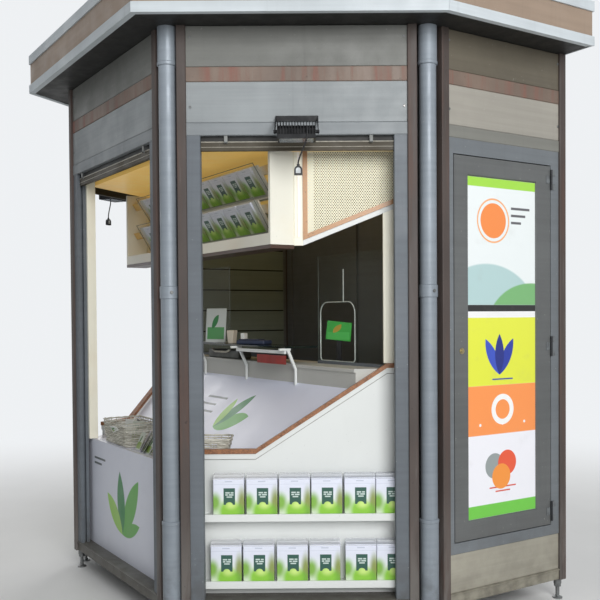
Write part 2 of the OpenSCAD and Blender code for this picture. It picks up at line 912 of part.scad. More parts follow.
// Narrow length with its middle collar.
module downpipes() {
    color("lightslategray")
        at_pipes()
            rotate_extrude()
                polygon([
                    [0, shoe_z], [pipe_d / 2, shoe_z], [pipe_d / 2, collar_z],
                    [socket_d / 2, collar_z + edge], [socket_d / 2, collar_z + collar_h - edge],
                    [pipe_d / 2, collar_z + collar_h], [pipe_d / 2, spout_z], [0, spout_z]
                ]);
}

// Wide lower length with a bead round its top and an open mouth.
module pipe_shoes() {
    mouth = pipe_end_z + mouth_h;
    color("lightslategray")
        at_pipes()
            rotate_extrude()
                polygon([
                    [pipe_d / 2, pipe_end_z], [socket_d / 2, pipe_end_z],
                    [socket_d / 2, shoe_z - bead_h], [bead_d / 2, shoe_z - bead_h + edge],
                    [bead_d / 2, shoe_z - edge], [bead_d / 2 - edge, shoe_z],
                    [0, shoe_z], [0, mouth], [pipe_d / 2, mouth]
                ]);
}

// Frame of one side in its own wall's frame, with the leaf's place and its stop cut out.
module side_frame(i) {
    x0 = leaf_x - leaf_gap;
    x1 = leaf_x + leaf_w + leaf_gap;
    stop = leaf_gap + stop_lap;
    difference() {
        slab(bay_start(i), bay_end(i), 0, guide_d, side_rail_z, open_z);
        slab(x0, x1, -edge, leaf_t + stop_gap, leaf_z - leaf_gap, leaf_top + leaf_gap);
        slab(x0 + stop, x1 - stop, 0, guide_d + edge, leaf_z - leaf_gap + stop, leaf_top + leaf_gap - stop);
    }
}

module side_frames() {
    color("slategray")
        on_both(RIGHT_SIDE)
            side_frame(RIGHT_SIDE);
}

module side_lower_panels() {
    color("tan")
        on_both(RIGHT_SIDE)
            run(bay_start(RIGHT_SIDE), bay_end(RIGHT_SIDE))
                bevelled(low_side_back, low_side_back + low_side_t, sill_z, side_rail_z);
}

// The left side has a fixed panel in place of the leaf.
module left_side_panel() {
    color("slategray")
        mirror([1, 0, 0])
            on_wall(RIGHT_SIDE)
                run(leaf_x - leaf_gap + seam, leaf_x + leaf_w + leaf_gap - seam)
                    bevelled(fixed_back, fixed_back + fixed_t,
                             leaf_z - leaf_gap + seam, leaf_top + leaf_gap - seam);
}

// Puts children at the left edge of each bay of the back wall.
module at_back_bays() {
    on_wall(BACK)
        for (k = [0 : back_bays - 1])
            translate([post_back + seam + mullion_w + k * back_step, 0, 0])
                children();
}

// Back frame with three bays that repeat the sides: a low panel, a rail and a high panel.
module back_frame() {
    color("slategray")
        difference() {
            on_wall(BACK)
                slab(bay_start(BACK), bay_end(BACK), 0, guide_d, sill_z, open_z);
            at_back_bays() {
                slab(0, back_step - mullion_w, -edge, guide_d + edge, sill_z + mullion_w, side_rail_z);
                slab(0, back_step - mullion_w, -edge, guide_d + edge,
                     side_rail_z + frame_rail_h, open_z - leaf_head);
            }
        }
}

module back_panels() {
    w = back_step - mullion_w;
    color("slategray")
        at_back_bays() {
            run(seam, w - seam)
                bevelled(fixed_back, fixed_back + fixed_t, sill_z + mullion_w + seam, side_rail_z - seam);
            run(seam, w - seam)
                bevelled(fixed_back, fixed_back + fixed_t,
                         side_rail_z + frame_rail_h + seam, open_z - leaf_head - seam);
        }
}

// Grooved display board on the inside of the left side.
module slatted_wall() {
    y0 = guide_d + seam;
    z0 = worktop_z + slat_up;
    count = floor((ceiling_z - z0 - slat_first) / slat_pitch);
    color("darkslategray")
        mirror([1, 0, 0])
            on_wall(RIGHT_SIDE)
                difference() {
                    slab(bay_start(RIGHT_SIDE) + plate_lap, WIDTHS[RIGHT_SIDE] - post_back,
                         y0, y0 + slat_t, z0, ceiling_z - seam);
                    for (k = [0 : count])
                        translate([0, 0, z0 + slat_first + k * slat_pitch])
                            slab(0, WIDTHS[RIGHT_SIDE], y0 + slat_t - slat_groove_d, y0 + slat_t + edge,
                                 0, slat_groove_h);
                }
}

// Leaf with bevelled stiles and rails round a set-back panel.
module door_leaf() {
    x0 = leaf_x + stile_w;
    x1 = leaf_x + leaf_w - hinge_stile_w;
    z0 = leaf_z + stile_w;
    z1 = leaf_top - stile_w;
    b = stile_bevel;
    color("slategray")
        on_wall(RIGHT_SIDE)
            difference() {
                slab(leaf_x, leaf_x + leaf_w, 0, leaf_t, leaf_z, leaf_top);
                slab(x0, x1, 0, leaf_t + edge, z0, z1);
                hull() {
                    slab(x0 - b, x1 + b, -edge, 0, z0 - b, z1 + b);
                    slab(x0, x1, -edge, panel_back, z0, z1);
                }
            }
}

module door_board() {
    color("white")
        on_wall(RIGHT_SIDE)
            slab(leaf_x + stile_w, leaf_x + leaf_w - hinge_stile_w, panel_back, panel_back + board_t,
                 leaf_z + stile_w, leaf_top - stile_w);
}

module door_lock() {
    color("silver")
        on_wall(RIGHT_SIDE)
            translate([leaf_x + stile_w / 2, 0, leaf_mid - lock_down])
                rotate([90, 0, 0])
                    rotate_extrude()
                        polygon([
                            [0, 0], [lock_d / 2, 0], [lock_d / 2 - lock_bevel, lock_t],
                            [lock_core_d / 2, lock_t], [lock_core_d / 2, lock_core_t], [0, lock_core_t]
                        ]);
}

module at_hinges() {
    on_wall(RIGHT_SIDE)
        for (z = hinge_feet)
            translate([axis_x, axis_y, z])
                children();
}

module hinge_leaf(x0, x1, z0, z1) {
    slab(x0, x1, knuckle_d / 2 - hinge_t, knuckle_d / 2, z0, z1);
}

module frame_hinges() {
    color("dimgray")
        at_hinges() {
            cylinder(d = knuckle_d, h = knuckle_h);
            translate([0, 0, hinge_h - knuckle_h])
                cylinder(d = knuckle_d, h = knuckle_h);
            cylinder(d = pin_d, h = hinge_h);
            hinge_leaf(0, hinge_w, 0, knuckle_h);
            hinge_leaf(0, hinge_w, hinge_h - knuckle_h, hinge_h);
        }
}

module door_hinges() {
    z0 = knuckle_h + pin_gap;
    z1 = hinge_h - knuckle_h - pin_gap;
    color("dimgray")
        at_hinges()
            difference() {
                union() {
                    translate([0, 0, z0])
                        cylinder(d = knuckle_d, h = z1 - z0);
                    hinge_leaf(-hinge_w - hinge_t, 0, z0, z1);
                }
                cylinder(d = pin_d + pin_gap, h = hinge_h);
            }
}

// Half of the room's width at depth y, up to a line that lies d behind the diagonals' faces.
function half_at(y, d) = (front_w / 2 - d * sin(diag_a)) + (y - d * cos(diag_a)) / tan(diag_a);

// Where depth y meets the line behind the cheeks, along a diagonal.
function along_at(y) = (y - (inner_back + seam) * cos(diag_a)) / sin(diag_a);

// The room behind such a line, as a block between two heights.
module inner_room(z0, z1, d) {
    translate([0, 0, z0])
        linear_extrude(z1 - z0)
            polygon([
                [-half_at(counter_y, d), counter_y], [half_at(counter_y, d), counter_y],
                [half_at(body_y, d), body_y], [-half_at(body_y, d), body_y]
            ]);
}

module counter_front() {
    x1 = corner_at(RIGHT_DIAGONAL, -counter_y, -inner_d)[0];
    color("white")
        in_plan()
            slab(-x1, x1, counter_y, counter_y + counter_t, beam_top, shelf_z);
}

module counter_shelf() {
    y0 = counter_y + counter_t + seam;
    color("white")
        in_plan()
            intersection() {
                slab(-half_w, half_w, y0, slant_y - seam, shelf_z - counter_t, shelf_z);
                inner_room(sill_z, worktop_z, inner_back + seam);
            }
}

module slanted_display() {
    a = atan2(slant_h, riser_y - slant_y);
    drop = counter_t / cos(a);
    color("lavender")
        in_plan()
            intersection() {
                run(-half_w, half_w)
                    polygon([
                        [slant_y, shelf_z - drop], [slant_y, shelf_z],
                        [riser_y - seam, slant_z], [riser_y - seam, slant_z - drop]
                    ]);
                inner_room(sill_z, worktop_z, inner_back + seam);
            }
}

// Worktop with a bevelled nose over its riser.
module worktop() {
    y0 = riser_y - worktop_nose;
    under = worktop_z - counter_t;
    foot = slant_z - riser_lap;
    color("whitesmoke")
        in_plan()
            intersection() {
                run(-half_w, half_w)
                    polygon([
                        [riser_y, foot], [riser_y, under], [y0, under], [y0, worktop_z - edge],
                        [y0 + edge, worktop_z], [riser_y + worktop_d, worktop_z],
                        [riser_y + worktop_d, under], [riser_y + counter_t, under],
                        [riser_y + counter_t, foot]
                    ]);
                inner_room(sill_z, worktop_z + edge, inner_back + seam);
            }
    color("whitesmoke")
        on_both(RIGHT_DIAGONAL)
            upright(inner_back + seam, counter_t)
                polygon([
                    [along_at(riser_y + edge), foot], [along_at(riser_y + worktop_d), foot],
                    [along_at(riser_y + worktop_d), under], [along_at(riser_y + edge), under]
                ]);
}

// Outline of a cheek: low at the main front, then sloping up to a level end.
module cheek_profile(up) {
    polygon([
        [cheek_start, beam_top], [cheek_start, cheek_low + up],
        [cheek_start + cheek_low_w, cheek_low + up], [cheek_end - cheek_high_w, cheek_high + up],
        [cheek_end, cheek_high + up], [cheek_end, beam_top]
    ]);
}

// Height of the perforated boards' sloping foot at distance s along a diagonal.
function perf_foot(s) = perf_low + (s - perf_s1) * perf_rise / (perf_s2 - perf_s1);

// Strip along that foot, between two heights over it.
module perf_strip(z0, z1) {
    polygon([
        [perf_s1 + seam, perf_foot(perf_s1) + z0], [perf_s2 - seam, perf_foot(perf_s2) + z0],
        [perf_s2 - seam, perf_foot(perf_s2) + z1], [perf_s1 + seam, perf_foot(perf_s1) + z1]
    ]);
}

module cheeks() {
    color("white")
        on_both(RIGHT_DIAGONAL) {
            upright(inner_d, counter_t)
                cheek_profile(-seam);
            upright(inner_d - edging_t, edging_t)
                difference() {
                    cheek_profile(-seam);
                    cheek_profile(-edging_h);
                }
            upright(inner_d, counter_t)
                perf_strip(-edging_h, -seam);
        }
}

// Wood along the cheeks, round the perforated boards and under the overhead display.
module cheek_trims() {
    color("peru") {
        on_both(RIGHT_DIAGONAL) {
            upright(inner_d - wood_lap, counter_t + wood_lap)
                difference() {
                    cheek_profile(wood_t);
                    cheek_profile(0);
                }
            upright(inner_d - wood_lap / 2, counter_t + wood_lap / 2) {
                perf_strip(0, wood_t);
                polygon([
                    [perf_s1 + seam, perf_low], [perf_s1 + seam + wood_t, perf_foot(perf_s1 + wood_t)],
                    [perf_s1 + seam + wood_t, ceiling_z - seam], [perf_s1 + seam, ceiling_z - seam]
                ]);
            }
        }
        in_plan()
            slab(-over_half, over_half, over_y, over_end, over_z - over_strip_h, over_z - seam);
    }
}

// Shelves along the cheeks, each with a lip along its front edge.
module cheek_shelves() {
    y0 = inner_d - cheek_shelf_d;
    color("white")
        on_both(RIGHT_DIAGONAL)
            for (z = [sill_z + shelf1_up, sill_z + shelf2_up])
                run(cheek_start, cheek_end)
                    polygon([
                        [y0, z], [inner_d - seam, z], [inner_d - seam, z + cheek_shelf_t],
                        [y0 + shelf_lip_t, z + cheek_shelf_t],
                        [y0 + shelf_lip_t, z + cheek_shelf_t + shelf_lip_h],
                        [y0, z + cheek_shelf_t + shelf_lip_h]
                    ]);
}

// Cream posts: at the cheeks' high ends, beside the perforated boards and behind the main guides.
module inner_posts() {
    x1 = front_w / 2 - post_inset - post_w - guide_w + lining_out;
    color("beige") {
        on_both(RIGHT_DIAGONAL) {
            upright(inner_d, inner_post_d)
                polygon([
                    [post_s, cheek_high + wood_t + seam], [cheek_end, cheek_high + wood_t + seam],
                    [cheek_end, perf_foot(cheek_end) - edging_h - seam],
                    [post_s, perf_foot(post_s) - edging_h - seam]
                ]);
            slab(perf_s0, perf_s1, inner_d, inner_back, perf_low - edging_h, ceiling_z - seam);
        }
        in_plan()
            mirrored()
                slab(x1 - lining_w, x1, guide_d + seam, lining_d, shelf_z + seam, open_z - seam);
    }
}

module perforated_panels() {
    s0 = perf_s1 + wood_t + 2 * seam;
    color("wheat")
        on_both(RIGHT_DIAGONAL)
            upright(inner_d, perf_t)
                polygon([
                    [s0, perf_foot(s0) + wood_t + seam], [perf_s2 - seam, perf_foot(perf_s2) + wood_t + seam],
                    [perf_s2 - seam, ceiling_z - seam], [s0, ceiling_z - seam]
                ]);
}

// Grooved channels on the worktop that hold the upright glass.
module screen_channels() {
    g = glass_t / 2 + seam;
    floor_z = channel_top - channel_groove;
    color("gray")
        in_plan()
            mirrored()
                intersection() {
                    run(screen_gap, half_w)
                        polygon([
                            [screen_y - channel_w / 2, worktop_z], [screen_y + channel_w / 2, worktop_z],
                            [screen_y + channel_w / 2, channel_top], [screen_y + g, channel_top],
                            [screen_y + g, floor_z], [screen_y - g, floor_z],
                            [screen_y - g, channel_top], [screen_y - channel_w / 2, channel_top]
                        ]);
                    inner_room(worktop_z, ceiling_z, inner_d + inner_post_d + seam);
                }
}

// Serving hole with rounded upper corners, in X and height.
module serving_hole() {
    x0 = screen_gap + hole_in;
    z1 = channel_top + hole_h - hole_r;
    hull()
        for (x = [x0 + hole_r, x0 + hole_w - hole_r])
            translate([x, z1])
                circle(r = hole_r);
    translate([x0, channel_top])
        square([hole_w, hole_h - hole_r]);
}

module screen() {
    z0 = channel_top - channel_groove + seam;
    intersection() {
        upright(screen_y - glass_t / 2, glass_t)
            translate([screen_gap, z0])
                square([half_w, channel_top + screen_h - z0]);
        inner_room(worktop_z, ceiling_z, inner_d + inner_post_d + seam);
    }
}

// Two upright screens. Only the right one has the serving hole.
module window_screens() {
    color("lightcyan")
        in_plan() {
            difference() {
                screen();
                upright(screen_y - glass_t, 2 * glass_t)
                    serving_hole();
            }
            mirror([1, 0, 0])
                screen();
        }
}

// Bent brackets that stand before the riser and carry the glass shelf.
module shelf_brackets() {
    y1 = riser_y - worktop_nose - seam;
    y0 = y1 - arm_t;
    rise = slant_h / (riser_y - seam - slant_y);
    z0 = slant_z - (riser_y - seam - y0) * rise + seam;
    z1 = slant_z - (riser_y - seam - y1) * rise + seam;
    bend = worktop_z - counter_t - arm_t;
    front = riser_y - shelf_out;
    top = glass_shelf_z - seam;
    strut = front + arm_t;
    color("white")
        in_plan() {
            for (k = [-1 : 1])
                run(k * arm_step - arm_w / 2, k * arm_step + arm_w / 2)
                    polygon([
                        [y0, z0], [y0, bend], [strut, top - arm_t], [front - arm_tip, top - arm_t],
                        [front - arm_tip, top], [front + shelf_d, top], [front + shelf_d, top - arm_t],
                        [strut + 3 / 2 * arm_t, top - arm_t], [y1, bend + arm_t / 2], [y1, z1]
                    ]);
            slab(0, arm_step, front, strut, top - arm_t - shelf_rail_h, top - arm_t);
        }
}

module glass_shelf() {
    y0 = riser_y - shelf_out;
    color("lightcyan")
        in_plan()
            slab(-shelf_half, shelf_half, y0, y0 + shelf_d, glass_shelf_z, glass_shelf_z + shelf_glass_t);
}

module overhead_display() {
    x1 = over_half - counter_t;
    color("white")
        in_plan() {
            slab(-x1, x1, over_y, over_y + counter_t, over_z, over_z + over_rail_h);
            slab(-x1, x1, over_y + counter_t, over_end, over_z, over_z + counter_t);
            mirrored()
                slab(x1, over_half, over_y, over_end, over_z, ceiling_z - seam);
        }
}

// Leaning boards with a lip under their glass, each on a bar between the display's ends.
module display_trays() {
    x1 = over_half - counter_t - seam;
    x2 = tray_half + tray_t;
    y1 = tray_foot + tray_d;
    color("whitesmoke")
        in_plan()
            for (t = TRAYS) {
                z0 = t[0] + tray_bar_up;
                y2 = y1 - tray_lean * tray_bar_up / t[1];
                y3 = y2 - tray_lean * tray_bar_h / t[1];
                run(-x2, x2)
                    polygon([
                        [over_y + tray_lean - tray_t / 2, t[0] - tray_t], [y1 + tray_t, t[0] - tray_t],
                        [y1 + tray_t - tray_lean, t[0] + t[1]], [y1 - tray_lean, t[0] + t[1]],
                        [y1, t[0]], [over_y + tray_lean - tray_t / 2, t[0]]
                    ]);
                run(-x1, x1)
                    polygon([
                        [y2 + tray_t / 2, z0], [y2 + tray_bar_d, z0], [y3 + tray_bar_d, z0 + tray_bar_h],
                        [y3 + tray_t / 2, z0 + tray_bar_h]
                    ]);
            }
}

module tray_glass() {
    color("lightcyan")
        in_plan()
            for (t = TRAYS)
                run(-tray_half, tray_half)
                    polygon([
                        [over_y + tray_lean, t[0] + seam], [over_y + tray_lean + tray_glass_t, t[0] + seam],
                        [over_y + tray_glass_t, t[0] + t[1]], [over_y, t[0] + t[1]]
                    ]);
}

// Section of a floodlight's housing, moved outwards at its far side and top by up.
module lamp_section(up) {
    y0 = -lamp_far + fin_out - up;
    y1 = -lamp_out - lamp_rim_w;
    z0 = lamp_z + lamp_rim_h - seam;
    z1 = lamp_z + lamp_h - fin_out + up;
    polygon([
        [y1, z0], [y0, z0], [y0, z1 - fin_out], [y0 + fin_out, z1],
        [y1 - fin_out, z1], [y1, z1 - fin_out]
    ]);
}

// Finned housing over a glass frame, with the gland of its lead.
module floodlights() {
    x0 = lamp_mid - lamp_w / 2;
    x1 = lamp_mid + lamp_w / 2;
    color("dimgray")
        on_both(RIGHT_DIAGONAL) {
            difference() {
                slab(x0, x1, -lamp_far, -lamp_out, lamp_z, lamp_z + lamp_rim_h);
                slab(x0 + lamp_rim_w, x1 - lamp_rim_w, lamp_rim_w - lamp_far, -lamp_out - lamp_rim_w,
                     lamp_z - edge, lamp_z + lamp_glass_t + seam);
            }
            run(x0, x1)
                lamp_section(0);
            for (k = [0 : fin_count - 1])
                translate([k * (lamp_w - fin_t) / (fin_count - 1), 0, 0])
                    run(x0, x0 + fin_t)
                        lamp_section(fin_out);
            translate(LEAD[0]) {
                cylinder(d1 = lead_d + lead_grip, d2 = gland_d, h = gland_l);
                translate([0, 0, gland_l - gland_d / 2])
                    rotate([-90, 0, 0])
                        cylinder(d = gland_d, h = fin_out + gland_d);
            }
        }
}

module floodlight_glass() {
    r = lamp_rim_w + seam;
    color("lightcyan")
        on_both(RIGHT_DIAGONAL)
            slab(lamp_mid - lamp_w / 2 + r, lamp_mid + lamp_w / 2 - r, r - lamp_far, -lamp_out - r,
                 lamp_z, lamp_z + lamp_glass_t);
}

// Outline of a bracket's arm, from the header panel down to the pivot.
module lamp_arm() {
    hull() {
        translate([-pivot_out, pivot_z])
            circle(d = lamp_arm_w);
        translate([-lamp_arm_t, rail_z + edge])
            square([lamp_arm_t, lamp_web_h]);
    }
}

module floodlight_brackets() {
    x0 = lamp_mid - lamp_w / 2 - lamp_arm_gap - lamp_arm_t;
    color("gray")
        on_both(RIGHT_DIAGONAL) {
            slab(x0, 2 * lamp_mid - x0, -lamp_arm_t, 0, rail_z + edge, rail_z + edge + lamp_web_h);
            for (x = [x0, 2 * lamp_mid - x0 - lamp_arm_t])
                run(x, x + lamp_arm_t)
                    lamp_arm();
            for (m = [0, 1])
                translate([lamp_mid, -pivot_out, pivot_z])
                    mirror([m, 0, 0])
                        translate([-lamp_w / 2 - lamp_arm_gap - 2 * lamp_arm_t, 0, 0])
                            rotate([0, 90, 0])
                                cylinder(d = lamp_bolt_d, h = lamp_arm_gap + 2 * lamp_arm_t - seam);
        }
}

// Round tube swept along points, with its rings turned by the path's direction.
function unit(v) = v / norm(v);
function path_dir(p, k) = unit(p[min(k + 1, len(p) - 1)] - p[max(k - 1, 0)]);
function ring(p, k, r, n) =
    let (d = path_dir(p, k), u = unit(cross(d, [1, 0, 0])), v = cross(d, u))
    [for (j = [0 : n - 1]) p[k] + r * (cos(360 * j / n) * u + sin(360 * j / n) * v)];
function tube_points(p, r, n) = [for (k = [0 : len(p) - 1]) each ring(p, k, r, n)];
function tube_faces(m, n) = concat(
    [[for (j = [0 : n - 1]) j]],
    [[for (j = [n - 1 : -1 : 0]) (m - 1) * n + j]],
    [for (k = [0 : m - 2], j = [0 : n - 1])
        [k * n + j, (k + 1) * n + j, (k + 1) * n + (j + 1) % n, k * n + (j + 1) % n]]
);

module floodlight_leads() {
    color("black")
        on_both(RIGHT_DIAGONAL)
            polyhedron(points = tube_points(LEAD, lead_d / 2, 10), faces = tube_faces(len(LEAD), 10));
}

// Arched plug housing with a neck for the lead and a recess in each face.
module plug_outline(inset) {
    r = plug_w / 2 - inset;
    translate([0, -plug_w / 2])
        circle(r = r);
    translate([-r, inset - plug_h])
        square([2 * r, plug_h - plug_w / 2 - inset]);
}

module floodlight_connectors() {
    color("black")
        on_both(RIGHT_DIAGONAL)
            translate(LEAD[len(LEAD) - 1] - [0, 0, plug_neck_h]) {
                difference() {
                    upright(-plug_t / 2, plug_t)
                        plug_outline(0);
                    for (y = [-plug_t / 2, plug_t / 2])
                        upright(y - plug_recess, 2 * plug_recess)
                            plug_outline(gland_d / 2);
                }
                translate([0, 0, -lead_grip])
                    cylinder(d = gland_d, h = plug_neck_h + lead_grip);
            }
}

module rounded(l, w, r) {
    offset(r = r)
        square([l - 2 * r, w - 2 * r], center = true);
}

// Flared basket on its base, hollow, with a handle hole through its front.
module basket(l, w, h) {
    difference() {
        basket_body(l, w, h, 0);
        translate([0, 0, basket_t])
            basket_body(l - 2 * basket_t, w - 2 * basket_t, h, basket_t);
        translate([0, 0, h - handle_down - handle_h / 2])
            rotate([90, 0, 0])
                linear_extrude(w)
                    rounded(handle_w, handle_h, handle_h / 2 - seam);
    }
}

module basket_body(l, w, h, over) {
    r = 2 * basket_t;
    hull() {
        linear_extrude(seam)
            rounded(l, w, r);
        translate([0, 0, h - seam])
            linear_extrude(seam)
                rounded(l + 2 * basket_flare, w + 2 * basket_flare, r);
    }
}

module gift_baskets() {
    y1 = counter_y + counter_t + basket1_w / 2;
    y2 = inner_back + basket2_gap + basket2_w / 2 + basket_flare;
    color("wheat") {
        in_plan()
            translate([-basket1_x, y1, shelf_z + seam])
                basket(basket1_l, basket1_w, basket1_h);
        on_wall(RIGHT_DIAGONAL)
            translate([basket2_s, y2, shelf_z + seam])
                basket(basket2_l, basket2_w, basket2_h);
    }
}

feet();
base_beams();
sills();
floor_plate();
corner_backs();
end_posts();
shutter_guides();
header_rails();
header_lower_panels();
header_strips();
header_upper_panels();
shutter_bars();
soffit();
eave_lower_trim();
fascia();
eave_upper_trim();
roof_deck();
ceiling();
pipe_spouts();
downpipes();
pipe_shoes();
side_frames();
side_lower_panels();
left_side_panel();
back_frame();
back_panels();
slatted_wall();
door_leaf();
door_board();
door_lock();
door_hinges();
frame_hinges();
counter_front();
counter_shelf();
slanted_display();
worktop();
cheeks();
cheek_trims();
cheek_shelves();
inner_posts();
screen_channels();
window_screens();
shelf_brackets();
glass_shelf();
perforated_panels();
overhead_display();
display_trays();
tray_glass();
floodlights();
floodlight_glass();
floodlight_brackets();
floodlight_leads();
floodlight_connectors();
gift_baskets();
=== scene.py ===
"""Looks of the street kiosk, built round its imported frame."""

import json  # noqa: E402
import logging  # noqa: E402
import math  # noqa: E402
import random  # noqa: E402
from dataclasses import dataclass, field  # noqa: E402
from enum import Enum  # noqa: E402
from typing import Dict, List, Optional, Sequence, Tuple, Union  # noqa: E402

import bpy  # noqa: E402
from mathutils import Matrix, Vector  # noqa: E402


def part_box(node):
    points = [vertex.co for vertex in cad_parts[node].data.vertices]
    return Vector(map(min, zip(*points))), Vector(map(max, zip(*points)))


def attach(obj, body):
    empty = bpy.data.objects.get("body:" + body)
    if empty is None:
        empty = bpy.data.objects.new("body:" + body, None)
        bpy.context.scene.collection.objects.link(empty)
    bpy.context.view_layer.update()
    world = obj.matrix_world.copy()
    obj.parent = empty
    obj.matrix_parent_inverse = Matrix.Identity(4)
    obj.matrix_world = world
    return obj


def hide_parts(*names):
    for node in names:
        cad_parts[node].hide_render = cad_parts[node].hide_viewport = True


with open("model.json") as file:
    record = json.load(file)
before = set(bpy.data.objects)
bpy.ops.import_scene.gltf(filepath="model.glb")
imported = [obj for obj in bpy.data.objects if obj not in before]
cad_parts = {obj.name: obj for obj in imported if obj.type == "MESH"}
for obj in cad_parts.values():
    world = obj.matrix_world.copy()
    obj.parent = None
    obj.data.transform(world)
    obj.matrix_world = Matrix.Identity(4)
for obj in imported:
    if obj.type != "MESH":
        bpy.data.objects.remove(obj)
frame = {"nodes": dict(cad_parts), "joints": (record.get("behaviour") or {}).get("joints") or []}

LOG = logging.getLogger("kiosk")
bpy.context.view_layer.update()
NODES: Dict[str, bpy.types.Object] = frame["nodes"]
PLAN_Y = 0.86719  # how far the plan's main front lies before the row frame's origin
MIRROR = Matrix.Diagonal((-1.0, 1.0, 1.0, 1.0))

Point = Tuple[float, float, float]
Flat = Tuple[float, float]
Colour = Tuple[float, float, float, float]
Outline = Tuple[Flat, ...]
Box = Tuple[Point, Point]
Piece = bpy.types.Object
Socket = bpy.types.NodeSocket
Feed = Union[Socket, float, Colour, Point]


class Wall(Enum):
    """Walls that carry added pieces: their left corner seen from outside, in metres, and their turn in degrees."""

    FRONT = (-0.71, 0.0, 0.0)
    RIGHT_DIAGONAL = (0.71, 0.0, 57.0)
    RIGHT_SIDE = (1.37718, 1.02737, 90.0)
    LEFT_SIDE = (-1.37718, 1.92737, 270.0)
    LEFT_DIAGONAL = (-1.37718, 1.02737, 303.0)

    def frame(self) -> Matrix:
        """Gives the wall's frame: X along it, Y inwards, Z up."""
        x, y, turn = self.value
        return Matrix.Translation((x, y - PLAN_Y, 0.0)) @ Matrix.Rotation(math.radians(turn), 4, "Z")


class Hand(Enum):
    """The right half of the kiosk and its mirror image."""

    RIGHT = "right"
    LEFT = "left"

    def frame(self) -> Matrix:
        """Gives the frame of this hand's diagonal front."""
        return Wall.RIGHT_DIAGONAL.frame() if self is Hand.RIGHT else MIRROR @ Wall.RIGHT_DIAGONAL.frame()


PLAN = Matrix.Translation((0.0, -PLAN_Y, 0.0))
SWAP = Matrix(((0, 1, 0, 0), (1, 0, 0, 0), (0, 0, 1, 0), (0, 0, 0, 1)))  # exchanges X and Y
OPEN_FRONTS: Dict[str, Matrix] = {
    "front": Wall.FRONT.frame(), "right": Hand.RIGHT.frame(), "left": Hand.LEFT.frame()}


def paint(red: float, green: float, blue: float) -> Colour:
    """Turns a colour as a screen shows it, 0 to 255, into the linear one that sockets take."""
    line = [((v / 255 + 0.055) / 1.055) ** 2.4 if v > 10.3 else v / 255 / 12.92 for v in (red, green, blue)]
    return (line[0], line[1], line[2], 1.0)


def tinted(colour: Colour, share: float) -> Colour:
    """Gives a colour times a share, kept under full strength."""
    return (min(1.0, colour[0] * share), min(1.0, colour[1] * share), min(1.0, colour[2] * share), 1.0)


def spot(place: Point, turn: float = 0.0, lean: float = 0.0) -> Matrix:
    """Gives the frame of a thing in the plan: its place, and in degrees its turn and its lean back or forth."""
    turned = Matrix.Rotation(math.radians(turn), 4, "Z") @ Matrix.Rotation(math.radians(lean), 4, "X")
    return PLAN @ Matrix.Translation(place) @ turned


# Steps of a material


